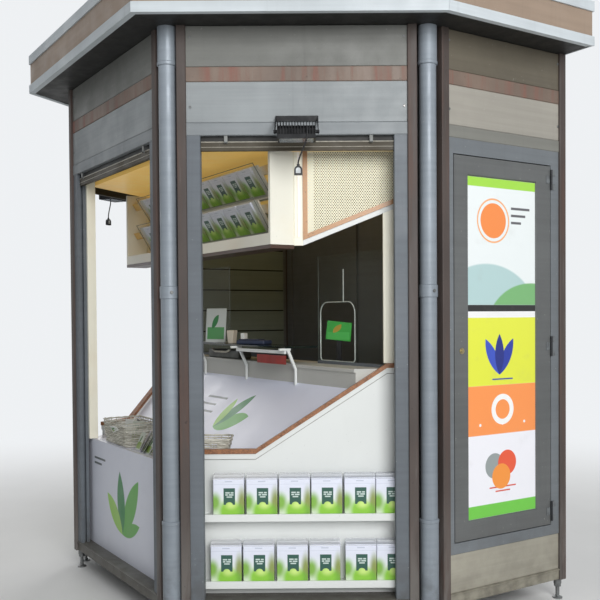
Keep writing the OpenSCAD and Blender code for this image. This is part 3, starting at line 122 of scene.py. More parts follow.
class NodeDesk:
    """One material's node graph, with the few steps that the finishes are made of."""

    def __init__(self, name: str) -> None:
        """Makes an empty material with one shader.

        Args:
            name: Name of the material.
        """
        self.material = bpy.data.materials.new(name)
        self.material.use_nodes = True
        self.nodes = self.material.node_tree.nodes
        self.links = self.material.node_tree.links
        self.nodes.clear()
        self.shader = self.nodes.new("ShaderNodeBsdfPrincipled")
        out = self.nodes.new("ShaderNodeOutputMaterial")
        self.links.new(self.shader.outputs[0], out.inputs[0])
        self.place = self.nodes.new("ShaderNodeTexCoord").outputs["Object"]

    def feed(self, socket: Socket, value: Feed) -> None:
        """Links a socket, or sets its own value where it is a plain one.

        Args:
            socket: Input of a node.
            value: Another node's output, or a plain value.
        """
        if isinstance(value, bpy.types.NodeSocket):
            self.links.new(value, socket)
        else:
            socket.default_value = value

    def own_map(self) -> None:
        """Makes every later pattern follow the piece's own UV map."""
        self.place = self.nodes.new("ShaderNodeUVMap").outputs[0]

    def mapped(self, stretch: Point, turn: Point = (0, 0, 0), move: Point = (0, 0, 0)) -> Socket:
        """Gives the place after a change of axes.

        Args:
            stretch: Scale of each axis.
            turn: Turn about each axis in degrees.
            move: Shift along each axis.

        Returns:
            The changed place.
        """
        node = self.nodes.new("ShaderNodeMapping")
        self.links.new(self.place, node.inputs["Vector"])
        node.inputs["Scale"].default_value = stretch
        node.inputs["Rotation"].default_value = [math.radians(a) for a in turn]
        node.inputs["Location"].default_value = move
        return node.outputs[0]

    def noise(self, scale: float, detail: float = 4.0, rough: float = 0.55,
              stretch: Point = (1, 1, 1), turn: Point = (0, 0, 0), move: Point = (0, 0, 0)) -> Socket:
        """Gives cloudy noise between 0 and 1.

        Args:
            scale: Clouds per metre.
            detail: Number of finer layers.
            rough: Strength of the finer layers.
            stretch: Scale of each axis before the noise.
            turn: Turn of the axes in degrees.
            move: Shift of the axes.

        Returns:
            The noise's value.
        """
        node = self.nodes.new("ShaderNodeTexNoise")
        self.links.new(self.mapped(stretch, turn, move), node.inputs["Vector"])
        node.inputs["Scale"].default_value = scale
        node.inputs["Detail"].default_value = detail
        node.inputs["Roughness"].default_value = rough
        return node.outputs[0]

    def cells(self, scale: float) -> Socket:
        """Gives the distance to the nearest of many scattered points.

        Args:
            scale: Points per metre.

        Returns:
            The distance.
        """
        node = self.nodes.new("ShaderNodeTexVoronoi")
        self.links.new(self.mapped((1, 1, 1)), node.inputs["Vector"])
        node.inputs["Scale"].default_value = scale
        return node.outputs["Distance"]

    def span(self, value: Feed, low: float, high: float, first: float = 0.0, last: float = 1.0) -> Socket:
        """Maps a range onto another, smoothly and with nothing beyond.

        Args:
            value: What is mapped.
            low: Value that gives first.
            high: Value that gives last.
            first: Result at and below low.
            last: Result at and above high.

        Returns:
            The result.
        """
        node = self.nodes.new("ShaderNodeMapRange")
        node.interpolation_type = "SMOOTHSTEP"
        for socket, v in zip(node.inputs, (value, low, high, first, last)):
            self.feed(socket, v)
        return node.outputs[0]

    def blend(self, share: Feed, first: Feed, second: Feed) -> Socket:
        """Mixes two colours.

        Args:
            share: Share of the second colour.
            first: The colour at share 0.
            second: The colour at share 1.

        Returns:
            The mixed colour.
        """
        node = self.nodes.new("ShaderNodeMix")
        node.data_type = "RGBA"
        for index, value in ((0, share), (6, first), (7, second)):
            self.feed(node.inputs[index], value)
        return node.outputs[2]

    def scaled(self, colour: Feed, factor: Feed) -> Socket:
        """Makes a colour lighter or darker.

        Args:
            colour: The colour.
            factor: What it is multiplied by.

        Returns:
            The new colour.
        """
        node = self.nodes.new("ShaderNodeVectorMath")
        node.operation = "SCALE"
        self.feed(node.inputs[0], colour[:3] if isinstance(colour, tuple) else colour)
        self.feed(node.inputs["Scale"], factor)
        return node.outputs[0]

    def beyond(self, axis: int, low: float, high: float) -> Socket:
        """Gives 0 up to a distance from the middle along an axis, and 1 from another."""
        return self.span(self.work("ABSOLUTE", self.axes()[axis]), low, high)

    def work(self, operation: str, first: Feed, second: Feed = 0.0) -> Socket:
        """Works out one sum.

        Args:
            operation: Name of the sum.
            first: Its first value.
            second: Its second value, where it has one.

        Returns:
            The result.
        """
        node = self.nodes.new("ShaderNodeMath")
        node.operation = operation
        self.feed(node.inputs[0], first)
        self.feed(node.inputs[1], second)
        return node.outputs[0]

    def axes(self, move: Point = (0, 0, 0)) -> Sequence[Socket]:
        """Gives the place's three parts.

        Args:
            move: Shift along each axis.

        Returns:
            X, Y and Z.
        """
        node = self.nodes.new("ShaderNodeSeparateXYZ")
        self.links.new(self.mapped((1, 1, 1), move=move), node.inputs[0])
        return node.outputs

    def disc(self, u: Socket, v: Socket, centre: Flat, radii: Flat, soft: float = 0.02) -> Socket:
        """Gives 1 inside an oval of a plane, and 0 outside it.

        Args:
            u: Place across.
            v: Place up.
            centre: The oval's middle.
            radii: Its reach across and up.
            soft: Share of its radius over which the edge fades.

        Returns:
            The value.
        """
        across = self.work("DIVIDE", self.work("SUBTRACT", u, centre[0]), radii[0])
        up = self.work("DIVIDE", self.work("SUBTRACT", v, centre[1]), radii[1])
        squares = [self.work("MULTIPLY", value, value) for value in (across, up)]
        return self.span(self.work("SQRT", self.work("ADD", *squares)), 1 - soft, 1 + soft, 1.0, 0.0)

    def leaf(self, u: Socket, v: Socket, foot: Flat, length: float, width: float, lean: float) -> Socket:
        """Gives 1 inside a pointed leaf, which two wide discs share.

        Args:
            u: Place across.
            v: Place up.
            foot: Where the leaf starts.
            length: From foot to point.
            width: At its middle.
            lean: Its direction in degrees.

        Returns:
            The value.
        """
        c, s = math.cos(math.radians(lean)), math.sin(math.radians(lean))
        radius = (length * length / 4 + width * width / 4) / width
        middle = (foot[0] + length / 2 * c, foot[1] + length / 2 * s)
        shift = radius - width / 2
        one = self.disc(u, v, (middle[0] - s * shift, middle[1] + c * shift), (radius, radius), 0.01)
        two = self.disc(u, v, (middle[0] + s * shift, middle[1] - c * shift), (radius, radius), 0.01)
        return self.work("MULTIPLY", one, two)

    def patch(self, u: Socket, v: Socket, low: Flat, high: Flat, soft: float = 0.0015) -> Socket:
        """Gives 1 inside a rectangle of a plane.

        Args:
            u: Place across.
            v: Place up.
            low: Its lowest corner.
            high: Its highest corner.
            soft: Half of the width over which its edge fades.

        Returns:
            The value.
        """
        across, up = (
            self.work("MULTIPLY", self.span(value, start - soft, start + soft),
                      self.span(value, end - soft, end + soft, 1, 0))
            for value, start, end in ((u, low[0], high[0]), (v, low[1], high[1])))
        return self.work("MULTIPLY", across, up)

    def relief(self, height: Socket, depth: float, strength: float = 1.0) -> None:
        """Bumps the surface.

        Args:
            height: Height between 0 and 1.
            depth: Metres that it stands for.
            strength: Share of the bump.
        """
        node = self.nodes.new("ShaderNodeBump")
        node.inputs["Strength"].default_value = strength
        node.inputs["Distance"].default_value = depth
        self.links.new(height, node.inputs["Height"])
        self.links.new(node.outputs[0], self.shader.inputs["Normal"])

    def finish(self, colour: Feed, rough: Feed, **constants: float) -> bpy.types.Material:
        """Feeds the shader and gives the material.

        Args:
            colour: Base colour.
            rough: Roughness.
            **constants: Other shader inputs, by name with underscores for blanks.

        Returns:
            The finished material.
        """
        self.feed(self.shader.inputs["Base Color"], colour)
        self.feed(self.shader.inputs["Roughness"], rough)
        for name, value in constants.items():
            self.shader.inputs[name.replace("_", " ")].default_value = value
        return self.material


@dataclass(frozen=True)
class Finish:
    """A finish that makes its material once."""

    name: str

    def build(self, desk: NodeDesk) -> None:
        """Makes the material on its desk; each finish has its own way."""
        raise NotImplementedError

    def material(self) -> bpy.types.Material:
        """Gives the material, made on first use.

        Returns:
            The material.
        """
        made = bpy.data.materials.get(self.name)
        if made is None:
            desk = NodeDesk(self.name)
            self.build(desk)
            made = desk.material
        return made


@dataclass(frozen=True)
class SheetPaint(Finish):
    """Painted sheet metal with cloudy fading, brushed streaks, dirt that ran down, splashes and fine chips."""

    colour: Colour
    side: Optional[Colour] = None
    rough: float = 0.5
    fade: float = 0.1
    brush: float = 0.05
    runs: float = 0.25
    splash: float = 0.5
    chips: float = 0.25
    chip_colour: Colour = paint(196, 196, 190)
    metal: float = 0.0
    side_from: float = 1.351  # distance from the middle beyond which only the side walls lie

    def build(self, desk: NodeDesk) -> None:
        """Makes the painted sheet's material.

        Args:
            desk: The material's desk.
        """
        base: Feed = self.colour
        if self.side is not None:
            base = desk.blend(desk.beyond(0, self.side_from, self.side_from + 0.003), self.colour, self.side)
        tone = desk.scaled(base, desk.span(desk.noise(1.9, 5), 0.3, 0.7, 1 - self.fade, 1 + self.fade))
        brush = desk.noise(1.0, 5, 0.6, (1.1, 1.1, 42))
        tone = desk.scaled(tone, desk.span(brush, 0.3, 0.7, 1 - self.brush, 1 + self.brush))
        runs = desk.span(desk.noise(1.0, 6, 0.6, (26, 26, 0.8)), 0.56, 0.82, 0.0, self.runs)
        tone = desk.blend(runs, tone, desk.scaled(base, 0.5))
        bloom = desk.span(desk.noise(1.0, 5, 0.6, (14, 14, 1.6), move=(3, 1, 2)), 0.58, 0.82, 0.0, self.runs * 0.6)
        tone = desk.blend(bloom, tone, desk.scaled(base, 1.35))
        low = desk.span(desk.axes()[2], 0.0, 0.55, self.splash, 0.0)
        splash = desk.work("MULTIPLY", low, desk.span(desk.noise(13, 6), 0.35, 0.65))
        tone = desk.blend(splash, tone, paint(72, 66, 58))
        chips = desk.span(desk.noise(70, 3, 0.6), 0.7, 0.74, 0.0, self.chips)
        tone = desk.blend(chips, tone, self.chip_colour)
        desk.relief(desk.noise(190, 3), 0.0006, 0.35)
        rough = desk.span(desk.noise(9, 4), 0.3, 0.7, self.rough - 0.08, self.rough + 0.1)
        desk.finish(tone, rough, Metallic=self.metal, Specular_IOR_Level=0.35)


@dataclass(frozen=True)
class WornPaint(Finish):
    """Brown paint gone red and pale in places, scratched along its length and grey at the feet."""

    colour: Colour
    faded: Colour
    grey: Colour
    share: float = 0.6

    def build(self, desk: NodeDesk) -> None:
        """Makes the worn paint's material.

        Args:
            desk: The material's desk.
        """
        long_wear = desk.noise(1.0, 6, 0.62, (16, 16, 1.3))
        cloudy = desk.span(desk.noise(2.4, 5), 0.3, 0.7)
        tone = desk.blend(cloudy, tinted(self.colour, 0.8), tinted(self.colour, 1.2))
        tone = desk.blend(desk.span(long_wear, 0.46, 0.66, 0, self.share), tone, self.faded)
        scratches = desk.span(desk.noise(1.0, 6, 0.7, (60, 60, 2.4)), 0.6, 0.72, 0, 0.5)
        tone = desk.blend(scratches, tone, self.grey)
        low = desk.span(desk.axes()[2], 0.15, 0.75, 0.9, 0.0)
        feet = desk.work("MULTIPLY", low, desk.span(desk.noise(1.0, 6, 0.6, (22, 22, 3)), 0.3, 0.62))
        tone = desk.blend(feet, tone, self.grey)
        tone = desk.blend(desk.span(desk.noise(55, 4), 0.68, 0.73, 0, 0.6), tone, tinted(self.colour, 0.3))
        desk.relief(desk.noise(120, 4), 0.0008, 0.4)
        desk.finish(tone, desk.span(long_wear, 0.3, 0.7, 0.5, 0.72))


@dataclass(frozen=True)
class Laminate(Finish):
    """Smooth laminate or enamelled board with faint smudges and dust in its lower parts."""

    colour: Colour
    rough: float = 0.35
    smudge: float = 0.12
    warm: float = 0.0
    lit: Optional[Colour] = None  # colour beyond a distance from the middle, where the warm lamp shines
    lit_from: float = 0.72
    # Emission strength: painted warm lamplight on the ceiling and a painted highlight on the bright strip.
    glow: float = 0.0

    def build(self, desk: NodeDesk) -> None:
        """Makes the laminate's material.

        Args:
            desk: The material's desk.
        """
        base: Feed = self.colour
        if self.lit is not None:
            base = desk.blend(desk.beyond(0, self.lit_from, self.lit_from + 0.12), self.colour, self.lit)
        tone = desk.scaled(base, desk.span(desk.noise(1.6, 4), 0.3, 0.7, 0.96, 1.02))
        smudges = desk.span(desk.noise(1.0, 6, 0.6, (9, 9, 1.4)), 0.52, 0.8, 0, self.smudge)
        tone = desk.blend(smudges, tone, desk.scaled(base, 0.62))
        yellowed = desk.span(desk.noise(3.2, 5, move=(2, 5, 1)), 0.5, 0.8, 0, self.warm)
        tone = desk.blend(yellowed, tone, paint(222, 190, 128))
        tone = desk.blend(desk.span(desk.noise(85, 3), 0.7, 0.74, 0, 0.25), tone, tinted(self.colour, 0.5))
        desk.relief(desk.noise(45, 3), 0.0004, 0.2)
        rough = desk.span(desk.noise(6, 4), 0.3, 0.7, self.rough - 0.07, self.rough + 0.12)
        desk.finish(tone, rough, Specular_IOR_Level=0.35, Emission_Color=self.colour, Emission_Strength=self.glow)


@dataclass(frozen=True)
class WoodEdge(Finish):
    """Varnished hardwood strip with fine grain along the diagonals, paler high up, and painted shade that darkens it
    under the display.
    """

    light: Colour
    dark: Colour
    pale: Colour
    # The strip between these heights is darkened as painted shade under the display.
    shaded_strip_z: Flat = (1.70, 1.822)  # heights between which the strip under the display lies

    def build(self, desk: NodeDesk) -> None:
        """Makes the wood's material; both halves share it by the distance from the middle.

        Args:
            desk: The material's desk.
        """
        x, y, z = desk.axes()
        joined = desk.nodes.new("ShaderNodeCombineXYZ")
        for socket, value in zip(joined.inputs, (desk.work("ABSOLUTE", x), y, z)):
            desk.links.new(value, socket)
        desk.place = joined.outputs[0]
        grain = desk.noise(1.0, 7, 0.62, (5, 150, 150), turn=(0, 0, -57))
        broad = desk.noise(1.0, 4, 0.5, (2, 30, 30), turn=(0, 0, -57))
        tone = desk.blend(desk.span(grain, 0.32, 0.68), self.dark, self.light)
        tone = desk.blend(desk.span(broad, 0.35, 0.7, 0, 0.45), tone, tinted(self.light, 1.25))
        tone = desk.blend(desk.span(z, 1.5, 1.9, 0, 0.6), tone, self.pale)
        foot, top = self.shaded_strip_z
        # Painted shade: darker colour on the strip under the display.
        under = desk.work("MULTIPLY", desk.span(z, foot, foot + 0.01), desk.span(z, top, top + 0.002, 1, 0))
        tone = desk.blend(under, tone, tinted(self.dark, 0.42))
        tone = desk.blend(desk.span(desk.noise(60, 3), 0.66, 0.72, 0, 0.5), tone, tinted(self.dark, 0.5))
        desk.relief(grain, 0.0008, 0.5)
        desk.finish(tone, desk.span(grain, 0.3, 0.7, 0.34, 0.5), Coat_Weight=0.25, Coat_Roughness=0.2)


@dataclass(frozen=True)
class Glazing(Finish):
    """Thin clear pane that lets light through and keeps a faint film of dust."""

    colour: Colour
    alpha: float = 0.07
    rough: float = 0.05

    def build(self, desk: NodeDesk) -> None:
        """Makes the pane's material.

        Args:
            desk: The material's desk.
        """
        film = desk.span(desk.noise(2.2, 5), 0.35, 0.75)
        tone = desk.blend(film, self.colour, tinted(self.colour, 1.25))
        rough = desk.span(desk.noise(7, 5), 0.4, 0.75, self.rough, self.rough + 0.08)
        desk.finish(tone, rough, Alpha=self.alpha, IOR=1.5, Specular_IOR_Level=0.5)


@dataclass(frozen=True)
class Moulded(Finish):
    """Moulded plastic or rubber with a fine grained skin."""

    colour: Colour
    rough: float = 0.45
    grain: float = 500.0
    dust: float = 0.2
    gloss: float = 0.35

    def build(self, desk: NodeDesk) -> None:
        """Makes the moulding's material.

        Args:
            desk: The material's desk.
        """
        cloudy = desk.span(desk.noise(14, 5), 0.35, 0.7)
        tone = desk.blend(cloudy, tinted(self.colour, 0.85), tinted(self.colour, 1.25))
        tone = desk.blend(desk.span(desk.noise(90, 4), 0.62, 0.75, 0, self.dust), tone, paint(120, 116, 108))
        desk.relief(desk.noise(self.grain, 2), 0.0003, 0.5)
        rough = desk.span(desk.noise(25, 4), 0.3, 0.7, self.rough - 0.08, self.rough + 0.12)
        desk.finish(tone, rough, Specular_IOR_Level=self.gloss)


@dataclass(frozen=True)
class HingePaint(Finish):
    """Hinges painted over with their wall, worn to dark steel at the knuckles."""

    colour: Colour
    steel: Colour
    reach: float = 0.0085

    def build(self, desk: NodeDesk) -> None:
        """Makes the hinges' material; the knuckles lie round the swing's axis.

        Args:
            desk: The material's desk.
        """
        at = next(joint for joint in frame["joints"] if joint["name"] == "door_swing")["pos_m"]
        x, y, _ = desk.axes(move=(-at[0], -at[1], 0))
        away = desk.work("SQRT", desk.work("ADD", desk.work("MULTIPLY", x, x), desk.work("MULTIPLY", y, y)))
        near = desk.span(away, self.reach, self.reach + 0.001, 1, 0)
        tone = desk.blend(near, self.colour, self.steel)
        tone = desk.scaled(tone, desk.span(desk.noise(40, 5), 0.3, 0.7, 0.75, 1.2))
        desk.relief(desk.noise(140, 4), 0.0005, 0.4)
        desk.finish(tone, 0.55, Metallic=0.2, Specular_IOR_Level=0.35)


@dataclass(frozen=True)
class BareMetal(Finish):
    """Zinc-plated or cast metal with dull spots and a trace of rust."""

    colour: Colour
    rough: float = 0.42
    metal: float = 0.75
    rust: float = 0.15

    def build(self, desk: NodeDesk) -> None:
        """Makes the bare metal's material.

        Args:
            desk: The material's desk.
        """
        tone = desk.blend(desk.span(desk.cells(60), 0.2, 0.8), tinted(self.colour, 0.86), tinted(self.colour, 1.12))
        tone = desk.blend(desk.span(desk.noise(11, 6), 0.54, 0.7, 0, self.rust), tone, paint(120, 72, 42))
        tone = desk.blend(desk.span(desk.noise(40, 4), 0.6, 0.76, 0, 0.4), tone, tinted(self.colour, 0.4))
        desk.relief(desk.noise(140, 4), 0.0005, 0.4)
        rough = desk.span(desk.noise(18, 4), 0.3, 0.7, self.rough - 0.1, self.rough + 0.14)
        desk.finish(tone, rough, Metallic=self.metal)


@dataclass(frozen=True)
class RoofFelt(Finish):
    """Mineral roofing felt in laid widths, with a dark line along each lap."""

    colour: Colour
    width: float = 0.9

    def build(self, desk: NodeDesk) -> None:
        """Makes the felt's material.

        Args:
            desk: The material's desk.
        """
        grit = desk.noise(420, 2)
        tone = desk.blend(desk.span(grit, 0.35, 0.65), tinted(self.colour, 0.6), tinted(self.colour, 1.5))
        tone = desk.blend(desk.span(desk.noise(2.1, 6), 0.45, 0.72, 0, 0.5), tone, paint(122, 114, 100))
        tone = desk.blend(desk.span(desk.noise(5.5, 6, move=(4, 1, 0)), 0.6, 0.74, 0, 0.6), tone, paint(58, 60, 44))
        lap = desk.work("PINGPONG", desk.axes()[0], self.width / 2)
        tone = desk.blend(desk.span(lap, 0.008, 0.014, 0.7, 0), tone, paint(30, 30, 30))
        height = desk.work("ADD", desk.work("MULTIPLY", grit, 0.3), desk.span(lap, 0.006, 0.02, 0, 1))
        desk.relief(height, 0.004, 0.7)
        desk.finish(tone, 0.92)


@dataclass(frozen=True)
class FloorVinyl(Finish):
    """Speckled vinyl flooring, scuffed where people stand."""

    colour: Colour

    def build(self, desk: NodeDesk) -> None:
        """Makes the vinyl's material.

        Args:
            desk: The material's desk.
        """
        tone = desk.blend(desk.span(desk.noise(160, 2), 0.55, 0.62), self.colour, tinted(self.colour, 1.7))
        tone = desk.blend(desk.span(desk.noise(150, 2, move=(5, 5, 5)), 0.58, 0.64), tone, tinted(self.colour, 0.5))
        tone = desk.blend(desk.span(desk.noise(3, 6), 0.45, 0.75, 0, 0.5), tone, tinted(self.colour, 0.6))
        desk.relief(desk.noise(60, 3), 0.0004, 0.3)
        desk.finish(tone, desk.span(desk.noise(4, 5), 0.3, 0.7, 0.4, 0.62))


@dataclass(frozen=True)
class WovenFibre(Finish):
    """Limed willow: each strand with its own tone and long fibres."""

    light: Colour
    dark: Colour

    def build(self, desk: NodeDesk) -> None:
        """Makes the willow's material.

        Args:
            desk: The material's desk.
        """
        strands = desk.noise(1.0, 3, 0.5, (9, 9, 160))
        tone = desk.blend(desk.span(strands, 0.3, 0.7), self.dark, self.light)
        tone = desk.blend(desk.span(desk.noise(260, 4), 0.5, 0.7, 0, 0.45), tone, tinted(self.dark, 0.7))
        desk.relief(desk.noise(320, 4), 0.0008, 0.6)
        desk.finish(tone, 0.75)


@dataclass(frozen=True)
class DoorPrint(Finish):
    """Poster in the side leaf: colour fields with simple discs, leaves and waves.

    Places are across from the board's middle and up from its foot.
    """

    half: float = 0.4  # reaches past both edges of the board
    ground: Colour = paint(236, 239, 243)
    bands: Tuple[Tuple[float, float, Colour], ...] = (
        (0.0, 0.062, paint(112, 200, 72)), (0.062, 0.40, paint(240, 240, 246)),
        (0.40, 0.64, paint(249, 152, 84)), (0.64, 0.97, paint(226, 232, 70)),
        (0.97, 1.0, paint(240, 240, 240)), (1.0, 1.032, paint(30, 30, 30)), (1.032, 1.60, paint(232, 238, 238)))
    top_band: Colour = paint(160, 216, 70)
    sky: Flat = (1.032, 1.60)
    hills: Tuple[Tuple[Flat, Flat, Colour], ...] = (
        ((-0.10, 0.93), (0.36, 0.30), paint(178, 206, 206)), ((0.20, 0.92), (0.30, 0.22), paint(120, 178, 116)))
    sun: Flat = (-0.06, 1.44)
    sun_radii: Point = (0.085, 0.1, 0.108)  # of the disc and of its ring, inside and outside
    sun_colours: Tuple[Colour, Colour] = (paint(240, 140, 72), paint(240, 168, 110))
    strokes: Tuple[Tuple[float, float, Colour], ...] = (
        (0.665, 0.07, paint(44, 62, 160)), (0.135, 0.09, paint(214, 84, 60)), (0.115, 0.05, paint(214, 84, 60)))
    petal_foot: Flat = (-0.02, 0.69)
    petals: Tuple[Tuple[float, Colour], ...] = (
        (62, paint(44, 62, 160)), (118, paint(60, 84, 190)), (90, paint(36, 48, 130)))
    rounds: Tuple[Tuple[Flat, float, Colour], ...] = (
        ((0.0, 0.52), 0.075, paint(246, 246, 244)), ((0.0, 0.52), 0.048, paint(249, 152, 84)),
        ((-0.055, 0.245), 0.062, paint(150, 158, 158)), ((0.03, 0.255), 0.062, paint(232, 92, 60)),
        ((-0.01, 0.19), 0.062, paint(244, 150, 62)))

    def build(self, desk: NodeDesk) -> None:
        """Makes the poster's material, measured from the board's own box.

        Args:
            desk: The material's desk.
        """
        first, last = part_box("door_board")
        _, u, z = desk.axes(move=(0, -(first[1] + last[1]) / 2, -first[2]))
        tone: Feed = self.ground
        for start, end, colour in self.bands + ((self.sky[1], last[2] - first[2], self.top_band),):
            tone = desk.blend(desk.patch(u, z, (-self.half, start), (self.half, end)), tone, colour)
        sky = desk.patch(u, z, (-self.half, self.sky[0]), (self.half, self.sky[1]))
        for centre, radii, colour in self.hills:
            tone = desk.blend(desk.work("MULTIPLY", sky, desk.disc(u, z, centre, radii)), tone, colour)
        tone = self.sun_and_lines(desk, u, z, tone)
        for low, wide, colour in self.strokes:
            tone = desk.blend(desk.patch(u, z, (-wide, low), (wide, low + 0.007)), tone, colour)
        for lean, colour in self.petals:
            tone = desk.blend(desk.leaf(u, z, self.petal_foot, 0.2, 0.06, lean), tone, colour)
        for centre, radius, colour in self.rounds:
            tone = desk.blend(desk.disc(u, z, centre, (radius, radius)), tone, colour)
        tone = desk.blend(desk.span(desk.noise(9, 5), 0.55, 0.8, 0, 0.12), tone, paint(150, 146, 138))
        desk.relief(desk.noise(30, 3), 0.0003, 0.2)
        rough = desk.span(desk.noise(5, 4), 0.3, 0.7, 0.3, 0.42)
        desk.finish(tone, rough, Coat_Weight=0.2, Coat_Roughness=0.12)

    def sun_and_lines(self, desk: NodeDesk, u: Socket, z: Socket, tone: Feed) -> Feed:
        """Adds the ringed disc, the three lines beside it and the three dots lower down.

        Args:
            desk: The poster's graph.
            u: Place across.
            z: Place up.
            tone: The colour so far.

        Returns:
            The colour with them.
        """
        solid, inner, outer = (desk.disc(u, z, self.sun, (radius, radius)) for radius in self.sun_radii)
        tone = desk.blend(solid, tone, self.sun_colours[0])
        for k in range(3):
            down = 0.035 * k
            line = desk.patch(u, z, (0.06, 1.50 - down), (0.19 - 0.03 * k, 1.512 - down))
            tone = desk.blend(line, tone, paint(92, 92, 96))
            dot = desk.disc(u, z, (-0.15 + 0.15 * k, 0.45), (0.007, 0.007), 0.1)
            tone = desk.blend(dot, tone, paint(246, 246, 244))
        return desk.blend(desk.work("SUBTRACT", outer, inner), tone, self.sun_colours[1])


@dataclass(frozen=True)
class BoardPrint(Finish):
    """Lilac-white printed board with one spray of leaves and a few plain bars."""

    ground: Colour
    leaves: Tuple[Tuple[Flat, float, float, float], ...]
    bars: Tuple[Tuple[Flat, Flat], ...]
    slanted: bool = False

    def build(self, desk: NodeDesk) -> None:
        """Makes the printed board's material.

        Args:
            desk: The material's desk.
        """
        x, y, z = desk.axes()
        u, v = (x, y) if self.slanted else (x, z)
        cloudy = desk.span(desk.noise(1.4, 4), 0.3, 0.7)
        tone: Feed = desk.blend(cloudy, tinted(self.ground, 0.96), tinted(self.ground, 1.03))
        for index, (foot, length, width, lean) in enumerate(self.leaves):
            shade = (paint(96, 168, 74), paint(52, 128, 72), paint(150, 198, 88))[index % 3]
            tone = desk.blend(desk.leaf(u, v, foot, length, width, lean), tone, shade)
        for low, high in self.bars:
            tone = desk.blend(desk.patch(u, v, low, high), tone, paint(92, 98, 100))
        tone = desk.blend(desk.span(desk.noise(8, 5), 0.55, 0.8, 0, 0.1), tone, tinted(self.ground, 0.6))
        desk.relief(desk.noise(40, 3), 0.0003, 0.2)
        desk.finish(tone, desk.span(desk.noise(5, 4), 0.3, 0.7, 0.3, 0.44))


@dataclass(frozen=True)
class PackPrint(Finish):
    """Print on a small pack, over the pack's own map: pale sky, green hills and a dark tag."""

    sky: Colour = paint(228, 232, 246)
    haze: Colour = paint(226, 238, 216)
    tag: Colour = paint(44, 88, 76)
    mark: Colour = paint(206, 222, 216)
    blobs: Tuple[Tuple[Flat, Flat, Colour, float], ...] = (
        ((0.06, 0.36), (0.17, 0.22), paint(132, 182, 74), 0.6),
        ((0.93, 0.30), (0.13, 0.40), paint(142, 156, 84), 0.6),
        ((0.80, 0.10), (0.22, 0.20), paint(120, 176, 58), 0.5),
        ((0.52, 0.14), (0.32, 0.28), paint(142, 202, 62), 0.35),
        ((0.58, 0.30), (0.16, 0.10), paint(206, 236, 132), 0.8))
    bars: Tuple[Tuple[Flat, Flat], ...] = (
        ((0.40, 0.60), (0.54, 0.635)), ((0.57, 0.60), (0.66, 0.635)), ((0.40, 0.545), (0.48, 0.58)),
        ((0.51, 0.545), (0.66, 0.58)), ((0.44, 0.49), (0.62, 0.522)))
    folds: Tuple[Tuple[Flat, Flat], ...] = (((0.03, 0.835), (0.97, 0.842)), ((0.38, 0.90), (0.62, 0.93)))

    def build(self, desk: NodeDesk) -> None:
        """Makes the pack's printed material.

        Args:
            desk: The material's desk.
        """
        desk.own_map()
        u, v, _ = desk.axes()
        tone: Feed = desk.blend(desk.span(v, 0.1, 0.8), self.haze, self.sky)
        for centre, radii, colour, soft in self.blobs:
            tone = desk.blend(desk.disc(u, v, centre, radii, soft), tone, colour)
        notch = desk.work("SUBTRACT", 1.0, desk.disc(u, v, (0.525, 0.30), (0.11, 0.07), 0.05))
        tag = desk.work("MULTIPLY", desk.patch(u, v, (0.34, 0.30), (0.71, 0.74), 0.006), notch)
        tone = desk.blend(tag, tone, self.tag)
        for low, high in self.bars:
            tone = desk.blend(desk.patch(u, v, low, high, 0.008), tone, self.mark)
        for low, high in self.folds:
            tone = desk.blend(desk.patch(u, v, low, high, 0.004), tone, paint(196, 202, 218))
        desk.relief(desk.noise(14, 3), 0.0004, 0.3)
        desk.finish(tone, 0.34, Coat_Weight=0.3, Coat_Roughness=0.15)


@dataclass(frozen=True)
class CardPrint(Finish):
    """A small printed card or leaflet over its own map: one ground colour, a field and a leaf."""

    ground: Colour
    field: Colour
    leaf: Colour

    def build(self, desk: NodeDesk) -> None:
        """Makes the card's printed material.

        Args:
            desk: The material's desk.
        """
        desk.own_map()
        u, v, _ = desk.axes()
        tone = desk.blend(desk.patch(u, v, (0.08, 0.08), (0.92, 0.44), 0.01), self.ground, self.field)
        tone = desk.blend(desk.leaf(u, v, (0.3, 0.4), 0.52, 0.22, 52), tone, self.leaf)
        desk.relief(desk.noise(8, 3), 0.0003, 0.2)
        desk.finish(tone, 0.42, Coat_Weight=0.2, Coat_Roughness=0.15)


# Upper header panels darker than the lower ones on every wall: painted shade of the eave.
HEADER_UPPER_PAINTED_SHADE = SheetPaint("header_upper_painted_shade", paint(111, 112, 108), side=paint(96, 90, 78), splash=0.0)
HEADER_LOWER = SheetPaint("header_lower_paint", paint(141, 146, 148), side=paint(160, 156, 147), splash=0.0)
RAIL_GREY = SheetPaint("header_rail_paint", paint(129, 134, 137), side=paint(126, 126, 120), splash=0.0)
GUIDE_GREY = SheetPaint("guide_grey_paint", paint(100, 106, 112), runs=0.3, chips=0.4)
FRAME_GREY = SheetPaint("frame_grey_paint", paint(112, 117, 121), runs=0.2, chips=0.3)
LEAF_GREY = SheetPaint("leaf_grey_paint", paint(98, 100, 100), rough=0.42, runs=0.2, chips=0.3)
LIGHT_TRIM = SheetPaint("light_trim_paint", paint(192, 199, 203), runs=0.2, splash=0.0)
FASCIA_BROWN = SheetPaint("fascia_brown_paint", paint(150, 132, 116), runs=0.3, splash=0.0)
# Near-black: painted shade under the eave on the soffit, shared by the corner backs.
SOFFIT_PAINTED_SHADE = SheetPaint("soffit_painted_shade", paint(34, 34, 33), runs=0.1, chips=0.05)
